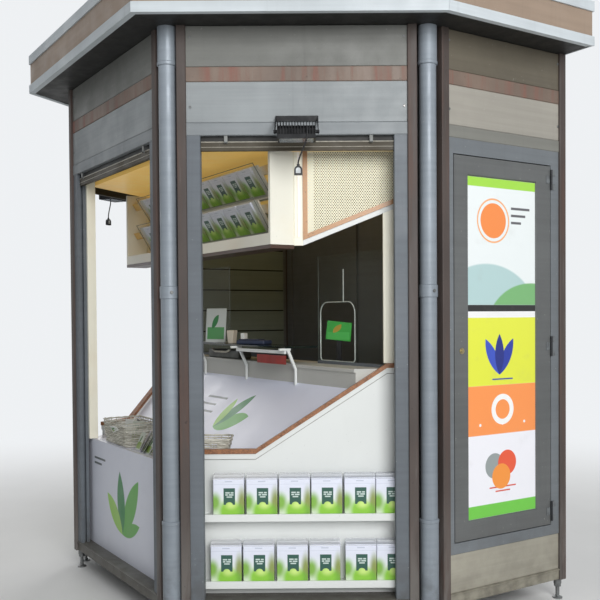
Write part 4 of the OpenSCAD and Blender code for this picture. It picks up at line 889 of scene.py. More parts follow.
# Near-black shutter bars: painted shade under the header.
SHUTTER_PAINTED_SHADE = SheetPaint("shutter_bars_painted_shade", paint(26, 26, 25), runs=0.1, chips=0.1)
PIPE_GREY = SheetPaint(
    "pipe_grey_paint", paint(134, 142, 150), rough=0.42, fade=0.08, runs=0.4, chips=0.3, metal=0.15)
BASE_GREY = SheetPaint("base_grey_paint", paint(96, 95, 90), side=paint(150, 146, 132), runs=0.3, splash=0.6)
BEIGE_SHEET = SheetPaint("beige_sheet_paint", paint(160, 156, 143), runs=0.2, splash=0.25)
BROWN_WORN = WornPaint("brown_worn_paint", paint(68, 59, 55), paint(98, 72, 62), paint(104, 100, 96), 0.4)
STRIP_WORN = WornPaint("strip_worn_paint", paint(115, 99, 88), paint(132, 84, 74), paint(126, 122, 115))
WHITE_BOARD = Laminate("white_board", paint(226, 229, 227))
# Greyer than the white board: painted shade on the worktop's riser.
RISER_PAINTED_SHADE = Laminate("riser_board_painted_shade", paint(192, 192, 186))
# Warm yellow towards both ends: painted light of the warm lamp.
TRAY_PAINTED_LAMPLIGHT = Laminate("tray_board_painted_lamplight", paint(208, 210, 203), lit=paint(222, 182, 104))
DISPLAY_BOARD = Laminate("display_board", paint(240, 238, 225), warm=0.15)
CREAM_BOARD = Laminate("cream_board", paint(252, 249, 232), warm=0.12, smudge=0.06)
# Warm yellow with a glow: painted warm lamplight on the ceiling board, which is no lamp.
CEILING_PAINTED_LAMPLIGHT = Laminate("ceiling_painted_lamplight", paint(222, 182, 100), warm=0.2, glow=0.34)
PERFORATED = Laminate("perforated_cream", paint(246, 240, 212), rough=0.5, warm=0.15)
WOOD = WoodEdge("wood_edge_varnish", paint(158, 108, 72), paint(98, 62, 40), paint(206, 160, 116))
CLEAR = Glazing("clear_pane", paint(96, 108, 102), alpha=0.06)
SHELF_GLASS = Glazing("shelf_pane", paint(26, 36, 34), alpha=0.86, rough=0.06)
LAMP_GLASS = Glazing("lamp_pane", paint(122, 134, 148), alpha=0.6, rough=0.12)
LAMP_BODY = Moulded("lamp_body_enamel", paint(22, 23, 25), rough=0.6, dust=0.12, gloss=0.25)
BRACKET = Moulded("bracket_enamel", paint(20, 21, 24), rough=0.5, dust=0.15, gloss=0.3)
STEEL = BareMetal("plain_steel", paint(120, 122, 122))
HINGES = HingePaint("hinge_paint", paint(108, 112, 114), paint(40, 42, 45))
BRASS = BareMetal("lock_brass", paint(170, 158, 120), rough=0.3)
RUBBER = Moulded("lead_rubber", paint(30, 30, 31), rough=0.6)
BLACK_PLASTIC = Moulded("connector_plastic", paint(30, 31, 34))
PALE_PLASTIC = Moulded("pale_plastic", paint(200, 204, 206), rough=0.4)
GREY_PLASTIC = Moulded("grey_plastic", paint(120, 122, 120), rough=0.5)
PANE_EDGE = Moulded("pane_edge", paint(190, 200, 194), rough=0.3, dust=0.05)
DIM_EDGE = Moulded("dim_pane_edge", paint(84, 94, 88), rough=0.3, dust=0.05)
# Grey line under the cheeks' white edging: painted shadow.
EDGING_PAINTED_SHADOW = Moulded("edging_painted_shadow", paint(150, 150, 144), rough=0.8, dust=0.05, gloss=0.1)
SLAT_SHADE = Moulded("slat_groove_shade", paint(16, 17, 16), rough=0.8, dust=0.05, gloss=0.1)
RED_PLASTIC = Moulded("red_strip_plastic", paint(150, 44, 36), rough=0.4)
DARK_BOARD = SheetPaint("dark_slat_board", paint(128, 140, 132), rough=0.55, runs=0.1, splash=0.0, chips=0.05)
# Dark brown sheet behind the perforated holes: painted shade.
HOLE_PAINTED_SHADE = Laminate("hole_painted_shade", paint(66, 58, 46), rough=0.8)
SHELF_BOARD = Laminate("counter_shelf_board", paint(226, 228, 244), rough=0.3)
FELT = RoofFelt("roof_felt_mineral", paint(72, 72, 72))
VINYL = FloorVinyl("floor_vinyl_speckle", paint(92, 89, 84))
WILLOW = WovenFibre("limed_willow", paint(232, 230, 220), paint(150, 147, 132))
POSTER = DoorPrint("door_poster_print")
SLANT_PRINT = BoardPrint(
    "slanted_board_print", paint(226, 230, 246),
    (((0.16, -0.36), 0.26, 0.10, 20), ((0.16, -0.36), 0.24, 0.09, 62), ((0.16, -0.36), 0.18, 0.07, 102),
     ((-0.52, -0.30), 0.2, 0.07, 40), ((-0.52, -0.30), 0.18, 0.06, 84)),
    (((-0.22, -0.20), (0.02, -0.188)), ((-0.22, -0.245), (-0.04, -0.233)), ((-0.22, -0.29), (0.0, -0.278))), True)
COUNTER_PRINT = BoardPrint(
    "counter_front_print", paint(214, 217, 228),
    (((-0.06, 0.30), 0.40, 0.13, 54), ((-0.06, 0.30), 0.34, 0.11, 96), ((-0.06, 0.30), 0.30, 0.10, 140),
     ((-0.06, 0.30), 0.26, 0.07, 20)),
    (((-0.50, 0.66), (-0.32, 0.672)), ((-0.50, 0.63), (-0.38, 0.642))))
PACK = PackPrint("pack_print")
PACK_LID = Glazing("pack_lid_film", paint(232, 236, 244), alpha=0.4, rough=0.1)
GREEN_CARD = CardPrint("green_card_print", paint(62, 196, 72), paint(86, 214, 96), paint(206, 176, 58))
WHITE_CARD = CardPrint("white_card_print", paint(206, 214, 212), paint(88, 156, 96), paint(52, 128, 72))
LEAFLET_A = CardPrint("leaflet_print_a", paint(196, 202, 190), paint(126, 150, 62), paint(70, 110, 60))
LEAFLET_B = CardPrint("leaflet_print_b", paint(190, 184, 200), paint(84, 62, 100), paint(170, 110, 70))
BOX_CARD = Laminate("box_card", paint(206, 198, 182), rough=0.6)
WHITE_BOX = Laminate("white_box_card", paint(232, 234, 230), rough=0.5)
NAVY_CASE = Moulded("navy_case", paint(44, 52, 72), rough=0.45)
TRAY_GREY = Moulded("tray_grey", paint(92, 94, 90), rough=0.5)
CREAM_HANDLE = Moulded("cream_handle", paint(196, 192, 176), rough=0.5, dust=0.1)
# Dark brown rail: painted shade under the header; its pale beads are a painted highlight.
RAIL_SHADE = SheetPaint("shutter_rail_painted_shade", paint(66, 60, 48), rough=0.55, runs=0.2, splash=0.0, chips=0.15)
RAIL_PAINTED_HIGHLIGHT = BareMetal("shutter_rail_painted_highlight", paint(176, 172, 160), rough=0.4, metal=0.35)
# Bright strip with a faint glow, though no lamp: painted highlight.
BRIGHT_STRIP_PAINTED_HIGHLIGHT = Laminate("bright_strip_painted_highlight", paint(252, 244, 236), rough=0.3, smudge=0.03, glow=0.12)

NODE_FINISHES: Dict[Finish, Sequence[str]] = {
    BROWN_WORN: ("end_posts",),
    STRIP_WORN: ("header_strips",),
    HEADER_UPPER_PAINTED_SHADE: ("header_upper_panels",),
    HEADER_LOWER: ("header_lower_panels",),
    RAIL_GREY: ("header_rails",),
    GUIDE_GREY: ("shutter_guides", "left_side_panel", "back_frame", "back_panels", "screen_channels"),
    FRAME_GREY: ("side_frames",),
    LEAF_GREY: ("door_leaf",),
    LIGHT_TRIM: ("eave_lower_trim", "eave_upper_trim"),
    FASCIA_BROWN: ("fascia",),
    SOFFIT_PAINTED_SHADE: ("soffit", "corner_backs"),
    SHUTTER_PAINTED_SHADE: ("shutter_bars",),
    PIPE_GREY: ("pipe_spouts", "downpipes", "pipe_shoes"),
    BASE_GREY: ("base_beams", "sills"),
    STEEL: ("feet",),
    HINGES: ("frame_hinges", "door_hinges"),
    BRASS: ("door_lock",),
    FELT: ("roof_deck",),
    VINYL: ("floor_plate",),
    BEIGE_SHEET: ("side_lower_panels",),
    COUNTER_PRINT: ("counter_front",),
    WHITE_BOARD: ("cheeks", "cheek_shelves", "shelf_brackets"),
    SHELF_BOARD: ("counter_shelf",),
    RISER_PAINTED_SHADE: ("worktop",),
    DISPLAY_BOARD: ("overhead_display",),
    TRAY_PAINTED_LAMPLIGHT: ("display_trays",),
    CREAM_BOARD: ("inner_posts",),
    CEILING_PAINTED_LAMPLIGHT: ("ceiling",),
    SLANT_PRINT: ("slanted_display",),
    WOOD: ("cheek_trims",),
    PERFORATED: ("perforated_panels",),
    CLEAR: ("window_screens", "tray_glass"),
    SHELF_GLASS: ("glass_shelf",),
    LAMP_GLASS: ("floodlight_glass",),
    DARK_BOARD: ("slatted_wall",),
    LAMP_BODY: ("floodlights",),
    BRACKET: ("floodlight_brackets",),
    RUBBER: ("floodlight_leads",),
    BLACK_PLASTIC: ("floodlight_connectors",),
    WILLOW: ("gift_baskets",),
    POSTER: ("door_board",),
}


# Modelling steps


class Bench:
    """Modelling by hand with Blender's operators; pieces end at the origin, with their place in the mesh."""

    @staticmethod
    def mode(name: str) -> None:
        """Changes between object mode and edit mode."""
        bpy.ops.object.mode_set(mode=name)

    @staticmethod
    def clear(active: Optional[Piece] = None) -> None:
        """Goes to object mode with nothing selected but the given piece.

        Args:
            active: The piece to select, if any.
        """
        if bpy.context.object is not None and bpy.context.object.mode != "OBJECT":
            Bench.mode("OBJECT")
        bpy.ops.object.select_all(action="DESELECT")
        if active is not None:
            active.select_set(True)
            bpy.context.view_layer.objects.active = active

    @staticmethod
    def settle(piece: Piece) -> Piece:
        """Puts the object's place, turn and size into its mesh.

        Args:
            piece: The piece.

        Returns:
            The same piece.
        """
        Bench.clear(piece)
        bpy.ops.object.transform_apply(location=True, rotation=True, scale=True)
        return piece

    @staticmethod
    def block(low: Point, high: Point, round_by: float = 0.0, steps: int = 2) -> Piece:
        """Makes a board between two corners with its edges rounded.

        Args:
            low: Lowest corner.
            high: Highest corner.
            round_by: Radius of its edges.
            steps: Facets of an edge.

        Returns:
            The board.
        """
        Bench.clear()
        bpy.ops.mesh.primitive_cube_add(size=1.0, location=[(a + b) / 2 for a, b in zip(low, high)])
        piece = bpy.context.object
        piece.scale = [b - a for a, b in zip(low, high)]
        Bench.settle(piece)
        return Bench.rounded(piece, round_by, steps) if round_by else piece

    @staticmethod
    def rounded(piece: Piece, width: float, steps: int = 2) -> Piece:
        """Rounds the sharp edges of a piece.

        Args:
            piece: The piece.
            width: Radius of its edges.
            steps: Facets of an edge.

        Returns:
            The same piece.
        """
        Bench.clear(piece)
        bevel = piece.modifiers.new("edges", "BEVEL")
        bevel.width, bevel.segments = width, steps
        bevel.limit_method, bevel.angle_limit = "ANGLE", math.radians(35)
        bpy.ops.object.modifier_apply(modifier=bevel.name)
        return piece

    @staticmethod
    def plate(outline: Sequence[Flat], start: float, end: float) -> Piece:
        """Cuts an outline in X and Z and gives it a thickness along Y.

        Args:
            outline: Corners in X and Z, one after the other.
            start: Where the plate begins on Y.
            end: Where it ends on Y.

        Returns:
            The plate, closed all round.
        """
        Bench.clear()
        bpy.ops.mesh.primitive_circle_add(vertices=len(outline), fill_type="NGON")
        piece = bpy.context.object
        for vertex, (x, z) in zip(piece.data.vertices, outline):
            vertex.co = (x, start, z)
        Bench.mode("EDIT")
        bpy.ops.mesh.select_all(action="SELECT")
        bpy.ops.mesh.extrude_region_move(TRANSFORM_OT_translate={"value": (0.0, end - start, 0.0)})
        bpy.ops.mesh.select_all(action="SELECT")
        bpy.ops.mesh.normals_make_consistent(inside=False)
        Bench.mode("OBJECT")
        return piece

    @staticmethod
    def tubes(paths: Sequence[Sequence[Point]], radius: float, closed: bool = False, sides: int = 1,
              mesh: bool = True) -> Piece:
        """Makes round strands along paths.

        Args:
            paths: Points of each strand.
            radius: Radius of a strand.
            closed: Whether each strand meets its own start.
            sides: Roundness of a strand, 0 for a square one.
            mesh: Whether they are turned into a mesh.

        Returns:
            All strands as one mesh or curve.
        """
        curve = bpy.data.curves.new("strands", "CURVE")
        curve.dimensions, curve.bevel_depth, curve.bevel_resolution = "3D", radius, sides
        curve.use_fill_caps = not closed
        for path in paths:
            spline = curve.splines.new("POLY")
            spline.points.add(len(path) - 1)
            for point, place in zip(spline.points, path):
                point.co = (*place, 1.0)
            spline.use_cyclic_u = closed
        piece = bpy.data.objects.new("strands", curve)
        bpy.context.scene.collection.objects.link(piece)
        if not mesh:
            return piece
        Bench.clear(piece)
        bpy.ops.object.convert(target="MESH")
        return bpy.context.object

    @staticmethod
    def screw(radius: float, height: float) -> Piece:
        """Makes a recessed pan head on the plane Y = 0 that stands out towards -Y.

        Args:
            radius: Radius of the head.
            height: How far it stands out.

        Returns:
            The head.
        """
        Bench.clear()
        bpy.ops.mesh.primitive_cylinder_add(vertices=14, radius=radius, depth=height)
        piece = bpy.context.object
        Bench.mode("EDIT")
        bpy.ops.mesh.select_all(action="DESELECT")
        Bench.mode("OBJECT")
        for face in piece.data.polygons:
            face.select = face.normal.z > 0.9
        Bench.mode("EDIT")
        bpy.ops.mesh.select_mode(type="FACE")
        bpy.ops.mesh.inset(thickness=radius * 0.25, depth=height * 0.3)
        bpy.ops.mesh.inset(thickness=radius * 0.4, depth=0.0)
        bpy.ops.mesh.inset(thickness=radius * 0.06, depth=-height * 0.5)
        Bench.mode("OBJECT")
        piece.data.transform(Matrix.Rotation(math.radians(90), 4, "X") @ Matrix.Translation((0, 0, height / 2)))
        return piece

    @staticmethod
    def map_front(piece: Piece, low: Flat, high: Flat) -> Piece:
        """Gives a piece its own map from X and Z.

        Args:
            piece: The piece.
            low: Corner that the map starts at.
            high: Corner that the map ends at.

        Returns:
            The same piece.
        """
        layers = piece.data.uv_layers
        layer = layers[0] if layers else layers.new(name="front")
        wide, tall = high[0] - low[0], high[1] - low[1]
        for loop in piece.data.loops:
            place = piece.data.vertices[loop.vertex_index].co
            layer.data[loop.index].uv = ((place.x - low[0]) / wide, (place.z - low[1]) / tall)
        return piece

    @staticmethod
    def copy(piece: Piece, matrix: Matrix) -> Piece:
        """Copies a piece with its own mesh.

        Args:
            piece: The pattern.
            matrix: Frame that the copy is put into.

        Returns:
            The copy.
        """
        twin = piece.copy()
        twin.data = piece.data.copy()
        bpy.context.scene.collection.objects.link(twin)
        return Bench.put(twin, matrix)

    @staticmethod
    def put(piece: Piece, matrix: Matrix) -> Piece:
        """Moves a piece's mesh into a frame and keeps its faces outwards.

        Args:
            piece: The piece.
            matrix: The frame.

        Returns:
            The same piece.
        """
        piece.data.transform(matrix)
        if matrix.determinant() < 0:
            piece.data.flip_normals()
        return piece

    @staticmethod
    def joined(pieces: Sequence[Piece]) -> Piece:
        """Joins pieces into the first one.

        Args:
            pieces: The pieces.

        Returns:
            The first piece, with all meshes.
        """
        Bench.clear(pieces[0])
        for piece in pieces:
            piece.select_set(True)
        if len(pieces) > 1:
            bpy.ops.object.join()
        return pieces[0]

    @staticmethod
    def drop(piece: Piece) -> None:
        """Removes a pattern piece once it is copied."""
        bpy.data.objects.remove(piece)


def dress(piece: Piece, name: str, finish: Finish) -> None:
    """Gives a piece its name and its finish, and lets it ride on the kiosk.

    Args:
        piece: The piece, in place.
        name: Its name.
        finish: Its finish.
    """
    piece.name = piece.data.name = name
    piece.data.materials.clear()
    piece.data.materials.append(finish.material())
    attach(piece, "kiosk")
    LOG.info("%s: %d faces", name, len(piece.data.polygons) if piece.type == "MESH" else 0)


def smooth(piece: Piece, degrees: float = 40.0) -> Piece:
    """Shades a piece smooth.

    Args:
        piece: The piece.
        degrees: Angle from which an edge stays sharp.

    Returns:
        The same piece.
    """
    Bench.clear(piece)
    bpy.ops.object.shade_smooth_by_angle(angle=math.radians(degrees))
    return piece


# Camera, light and floor


@dataclass
class Studio:
    """Camera at the photograph's place, plain soft light and a pale floor."""

    place: Point = (4.4295, -2.4676, 1.4784)
    yaw: float = 56.835
    pitch: float = 1.214
    roll: float = -0.4007
    focal: float = 866.56
    picture: float = 600.0
    sensor: float = 36.0
    shift: Flat = (-0.0274, 0.0570)
    ambient: float = 0.28
    pale: Colour = (0.86, 0.88, 0.90, 1.0)
    lamps: Tuple[Tuple[str, Point, float], ...] = (
        ("key_lamp", (7.9, -2.3, 4.3), 500.0), ("left_lamp", (-7.5, 0.4, 4.2), 90.0),
        ("back_lamp", (-5.5, 5.5, 5.0), 260.0))
    lamp_size: float = 4.0
    aim: Point = (0.2, -0.1, 1.2)
    floor_size: float = 60.0
    haze: Flat = (2.2, 6.5)  # distances from the kiosk between which the floor fades

    def set_camera(self) -> None:
        """Makes the scene's camera."""
        yaw, pitch, roll = (math.radians(a) for a in (self.yaw, self.pitch, self.roll))
        ahead = Vector((-math.sin(yaw), math.cos(yaw), 0.0))
        right = Vector((math.cos(yaw), math.sin(yaw), 0.0))
        up = Vector((0.0, 0.0, 1.0))
        look = ahead * math.cos(pitch) - up * math.sin(pitch)
        top = up * math.cos(pitch) + ahead * math.sin(pitch)
        side = right * math.cos(roll) + top * math.sin(roll)
        top = top * math.cos(roll) - right * math.sin(roll)
        data = bpy.data.cameras.new("viewpoint")
        data.sensor_width, data.lens = self.sensor, self.focal * self.sensor / self.picture
        data.shift_x, data.shift_y = self.shift
        data.clip_start, data.clip_end = 0.05, 200.0
        camera = bpy.data.objects.new("viewpoint", data)
        bpy.context.scene.collection.objects.link(camera)
        camera.matrix_world = Matrix.Translation(self.place) @ Matrix((side, top, -look)).transposed().to_4x4()
        bpy.context.scene.camera = camera

    def set_lamp(self, name: str, place: Point, power: float) -> None:
        """Hangs one soft square lamp that faces the kiosk.

        Args:
            name: Name of the lamp.
            place: Where it hangs.
            power: Its power in watts.
        """
        data = bpy.data.lights.new(name, "AREA")
        data.size, data.energy = self.lamp_size, power
        lamp = bpy.data.objects.new(name, data)
        bpy.context.scene.collection.objects.link(lamp)
        lamp.location = place
        lamp.rotation_euler = (Vector(self.aim) - Vector(place)).to_track_quat("-Z", "Y").to_euler()

    def set_world(self) -> None:
        """Lights softly from all round and shows a pale background to the camera, gloss and glass."""
        world = bpy.data.worlds.new("soft_sky")
        bpy.context.scene.world = world
        world.use_nodes = True
        nodes, links = world.node_tree.nodes, world.node_tree.links
        nodes.clear()
        rays = nodes.new("ShaderNodeLightPath")
        seen, gloss = nodes.new("ShaderNodeMath"), nodes.new("ShaderNodeMath")
        seen.operation = gloss.operation = "MAXIMUM"
        links.new(rays.outputs["Is Camera Ray"], seen.inputs[0])
        links.new(rays.outputs["Is Transmission Ray"], seen.inputs[1])
        links.new(seen.outputs[0], gloss.inputs[0])
        links.new(rays.outputs["Is Glossy Ray"], gloss.inputs[1])
        soft, shown = nodes.new("ShaderNodeBackground"), nodes.new("ShaderNodeBackground")
        soft.inputs[0].default_value, soft.inputs[1].default_value = (0.94, 0.97, 1.0, 1.0), self.ambient
        shown.inputs[0].default_value, shown.inputs[1].default_value = self.pale, 1.0
        mix, out = nodes.new("ShaderNodeMixShader"), nodes.new("ShaderNodeOutputWorld")
        links.new(gloss.outputs[0], mix.inputs[0])
        links.new(soft.outputs[0], mix.inputs[1])
        links.new(shown.outputs[0], mix.inputs[2])
        links.new(mix.outputs[0], out.inputs[0])

    def lay_floor(self) -> None:
        """Lays a pale floor that keeps the shadow near the kiosk and fades into the background."""
        Bench.clear()
        bpy.ops.mesh.primitive_grid_add(x_subdivisions=4, y_subdivisions=4, size=self.floor_size)
        floor = Bench.settle(bpy.context.object)
        floor.name = "studio_floor"
        desk = NodeDesk("floor_plaster")
        tone = desk.blend(desk.span(desk.noise(0.8, 4), 0.3, 0.7), (0.74, 0.74, 0.73, 1), (0.78, 0.78, 0.77, 1))
        floor.data.materials.append(desk.finish(tone, 0.85))
        length = desk.nodes.new("ShaderNodeVectorMath")
        length.operation = "LENGTH"
        desk.links.new(desk.place, length.inputs[0])
        haze, mix = desk.nodes.new("ShaderNodeEmission"), desk.nodes.new("ShaderNodeMixShader")
        haze.inputs[0].default_value = self.pale
        rays = desk.nodes.new("ShaderNodeLightPath")
        seen = desk.work("MAXIMUM", rays.outputs["Is Camera Ray"], rays.outputs["Is Transmission Ray"])
        far = desk.span(length.outputs["Value"], *self.haze)
        desk.links.new(desk.work("MULTIPLY", seen, far), mix.inputs[0])
        desk.links.new(desk.shader.outputs[0], mix.inputs[1])
        desk.links.new(haze.outputs[0], mix.inputs[2])
        out = next(node for node in desk.nodes if node.type == "OUTPUT_MATERIAL")
        desk.links.new(mix.outputs[0], out.inputs[0])

    def build(self) -> None:
        """Makes the floor, light and world."""
        view = bpy.context.scene.view_settings
        view.view_transform = "Standard"
        for name, place, power in self.lamps:
            self.set_lamp(name, place, power)
        self.set_world()
        self.lay_floor()


# Sub-assemblies


@dataclass
class HangingLead:
    """Lead that leaves a floodlight's gland and ends in its hanging connector; its route is in millimetres."""

    hand: Hand
    diameter: float = 0.007
    route: Tuple[Point, ...] = (
        (661, -191, 2284), (661, -191, 2276), (660.2, -190.8, 2266), (658, -190.4, 2254),
        (654, -189.6, 2240), (648, -188.4, 2224), (641, -187, 2208), (634, -185.6, 2192),
        (628, -184.2, 2177), (623.5, -183, 2164), (621, -182.2, 2155), (620, -182, 2149), (620, -182, 2143))

    def points(self) -> List[Vector]:
        """Gives the lead's smooth line in the kiosk's frame, through every point of its route.

        Returns:
            Its points, two for each step of the route.
        """
        knots = [Vector(p) / 1000 for p in self.route]
        line: List[Vector] = []
        for k in range(len(knots) - 1):
            a, b, c, d = knots[max(k - 1, 0)], knots[k], knots[k + 1], knots[min(k + 2, len(knots) - 1)]
            for t in (0.0, 0.5):
                line.append(0.5 * (2 * b + (c - a) * t + (2 * a - 5 * b + 4 * c - d) * t * t
                                   + (3 * b - a - 3 * c + d) * t * t * t))
        matrix = self.hand.frame()
        return [matrix @ p for p in line + [knots[-1]]]

    def build(self) -> None:
        line = self.points()
        cord = Bench.tubes([line], self.diameter / 2, False, 3, mesh=False)
        dress(cord, f"floodlight_lead_{self.hand.value}", RUBBER)
        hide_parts("floodlight_leads")


@dataclass
class HeaderScrews:
    """Pan-head screws near the ends of the header panels."""

    radius: float = 0.006
    height: float = 0.003
    heights: Flat = (2.756, 2.438)
    rows: Tuple[Tuple[Wall, Flat], ...] = (
        (Wall.FRONT, (0.124, 1.296)), (Wall.RIGHT_DIAGONAL, (0.124, 1.105)), (Wall.LEFT_DIAGONAL, (0.12, 1.101)),
        (Wall.RIGHT_SIDE, (0.114, 0.851)), (Wall.LEFT_SIDE, (0.049, 0.786)))

    def build(self) -> None:
        """Makes one pattern screw and sets it along every wall."""
        pattern = Bench.screw(self.radius, self.height)
        for wall, places in self.rows:
            heads = [Bench.copy(pattern, wall.frame() @ Matrix.Translation((s, 0.0, z)))
                     for s in places for z in self.heights]
            dress(Bench.joined(heads), f"header_screws_{wall.name.lower()}", STEEL)
        Bench.drop(pattern)


@dataclass
class RailHooks:
    """Pale hooks on the underside of the header rails that hold the raised shutters."""

    width: float = 0.016
    drop: float = 0.034
    lip: float = 0.006
    strap_y: Flat = (0.003, 0.007)
    lip_y: Flat = (0.003, 0.014)
    top: float = 2.308
    front_places: Flat = (0.24, 1.16)
    diagonal_places: Flat = (0.285, 0.953)

    def strip(self, high: float, depths: Flat) -> Piece:
        """Makes an upright strip from the hook's lower end to a height, between two depths."""
        return Bench.plate([(0.0, high), (self.width, high), (self.width, -self.drop), (0.0, -self.drop)], *depths)

    def build(self) -> None:
        """Makes one hook and hangs it at both ends of the open fronts."""
        parts = [self.strip(0.0, self.strap_y), self.strip(self.lip - self.drop, self.lip_y)]
        pattern = Bench.rounded(Bench.joined(parts), 0.001)
        for name, matrix in OPEN_FRONTS.items():
            places = self.front_places if name == "front" else self.diagonal_places
            hooks = [Bench.copy(pattern, matrix @ Matrix.Translation((s - self.width / 2, 0.0, self.top)))
                     for s in places]
            dress(Bench.joined(hooks), f"rail_hooks_{name}", GREY_PLASTIC)
        Bench.drop(pattern)


@dataclass
class PerforatedBoard:
    """Board with real holes in staggered rows, cut along its rising lower edge."""

    hand: Hand
    start: float = 0.6561
    end: float = 1.0990
    low_start: float = 1.838
    corner: float = 0.634  # where the sloping edge starts to rise
    rise: float = 0.183
    top: float = 2.258
    near: float = 0.130
    thickness: float = 0.0035
    column_step: float = 0.00562
    row_step: float = 0.00737
    hole: float = 0.0029
    round_hole: float = 0.086  # bevel profile at which a corner's cut bulges into a circle

    def punch(self, piece: Piece, columns: int, rows: int) -> None:
        """Opens a round hole at every second crossing of the grid.

        Args:
            piece: The flat grid.
            columns: Its number of columns.
            rows: Its number of rows.
        """
        step_x, step_z = (self.end - self.start) / columns, (self.top - self.low_start) / rows
        centres = set()
        Bench.mode("EDIT")
        bpy.ops.mesh.select_mode(type="VERT")
        bpy.ops.mesh.select_all(action="DESELECT")
        Bench.mode("OBJECT")
        for vertex in piece.data.vertices:
            i, j = round((vertex.co.x - self.start) / step_x), round((vertex.co.z - self.low_start) / step_z)
            vertex.select = 0 < i < columns and 0 < j < rows and (i + j) % 2 == 0
            if vertex.select:
                centres.add((i, j))
        Bench.mode("EDIT")
        bpy.ops.mesh.bevel(affect="VERTICES", offset=self.hole, segments=2, profile=self.round_hole)
        bpy.ops.mesh.select_mode(type="FACE")
        bpy.ops.mesh.select_all(action="DESELECT")
        Bench.mode("OBJECT")
        for face in piece.data.polygons:
            x, z = (face.center.x - self.start) / step_x, (face.center.z - self.low_start) / step_z
            i, j = round(x), round(z)
            face.select = (i, j) in centres and math.hypot((x - i) * step_x, (z - j) * step_z) < self.hole * 0.9
        Bench.mode("EDIT")
        bpy.ops.mesh.delete(type="FACE")

    def thicken(self, piece: Piece) -> None:
        """Gives the punched sheet its wall and centres it in its depth.

        Args:
            piece: The punched sheet.
        """
        wall = piece.modifiers.new("wall", "SOLIDIFY")
        wall.thickness, wall.offset = self.thickness, 0.0
        Bench.clear(piece)
        bpy.ops.object.modifier_apply(modifier=wall.name)
        shift = self.near + self.thickness / 2 - sum(v.co.y for v in piece.data.vertices) / len(piece.data.vertices)
        piece.data.transform(Matrix.Translation((0, shift, 0)))

    def build(self) -> None:
        """Makes the perforated board and stands it in for the plain one."""
        width, height = self.end - self.start, self.top - self.low_start
        columns, rows = round(width / self.column_step), round(height / self.row_step)
        Bench.clear()
        bpy.ops.mesh.primitive_grid_add(x_subdivisions=columns, y_subdivisions=rows, size=1.0)
        piece = bpy.context.object
        for vertex in piece.data.vertices:
            vertex.co = (self.start + (vertex.co.x + 0.5) * width, self.near + self.thickness,
                         self.low_start + (vertex.co.y + 0.5) * height)
        self.punch(piece, columns, rows)
        bpy.ops.mesh.select_all(action="SELECT")
        slope = Vector((self.end - self.corner, 0.0, self.rise)).normalized()
        bpy.ops.mesh.bisect(plane_co=(self.corner, 0.0, self.low_start), plane_no=(slope.z, 0.0, -slope.x),
                            clear_outer=True)
        Bench.mode("OBJECT")
        self.thicken(piece)
        Bench.put(piece, self.hand.frame())
        Bench.clear(piece)
        Bench.mode("EDIT")
        bpy.ops.mesh.select_all(action="SELECT")
        bpy.ops.mesh.normals_make_consistent(inside=False)
        Bench.mode("OBJECT")
        dress(piece, f"perforated_board_{self.hand.value}", PERFORATED)
        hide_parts("perforated_panels")


@dataclass
class ShutterRails:
    """Bottom rails of the raised shutters: folded sheet between the guides with rounded edges, dark as painted shade,
    and pale beads along it as a painted highlight.
    """

    front: float = 0.0155
    back: float = 0.0345
    sheet: float = 0.004
    low: float = 2.240
    high: float = 2.284
    # Pale beads along the rail: painted highlight lines.
    beads: Outline = ((2.2805, 0.0026), (2.2570, 0.0014))  # height and radius
    inset: float = 0.1686
    front_width: float = 1.42
    diagonal_width: float = 1.227

    def build(self) -> None:
        """Folds a rail for each open front."""
        f, b, t = self.front, self.back, self.sheet
        profile = [(f, self.high), (f, self.low), (b, self.low), (b, self.high), (b - t, self.high),
                   (b - t, self.low + t), (f + t, self.low + t), (f + t, self.high)]
        for name, matrix in OPEN_FRONTS.items():
            width = self.front_width if name == "front" else self.diagonal_width
            start, end = self.inset, width - self.inset
            rail = Bench.rounded(Bench.put(Bench.plate(profile, start, end), SWAP), 0.0012)
            Bench.put(rail, matrix)
            dress(rail, f"shutter_rail_{name}", RAIL_SHADE)
            lines = [Bench.tubes([[(start + 0.001, f - r * 0.2, z), (end - 0.001, f - r * 0.2, z)]], r, False, 2)
                     for z, r in self.beads]
            bead = Bench.put(Bench.joined(lines), matrix)
            dress(smooth(bead), f"shutter_highlight_bead_{name}", RAIL_PAINTED_HIGHLIGHT)


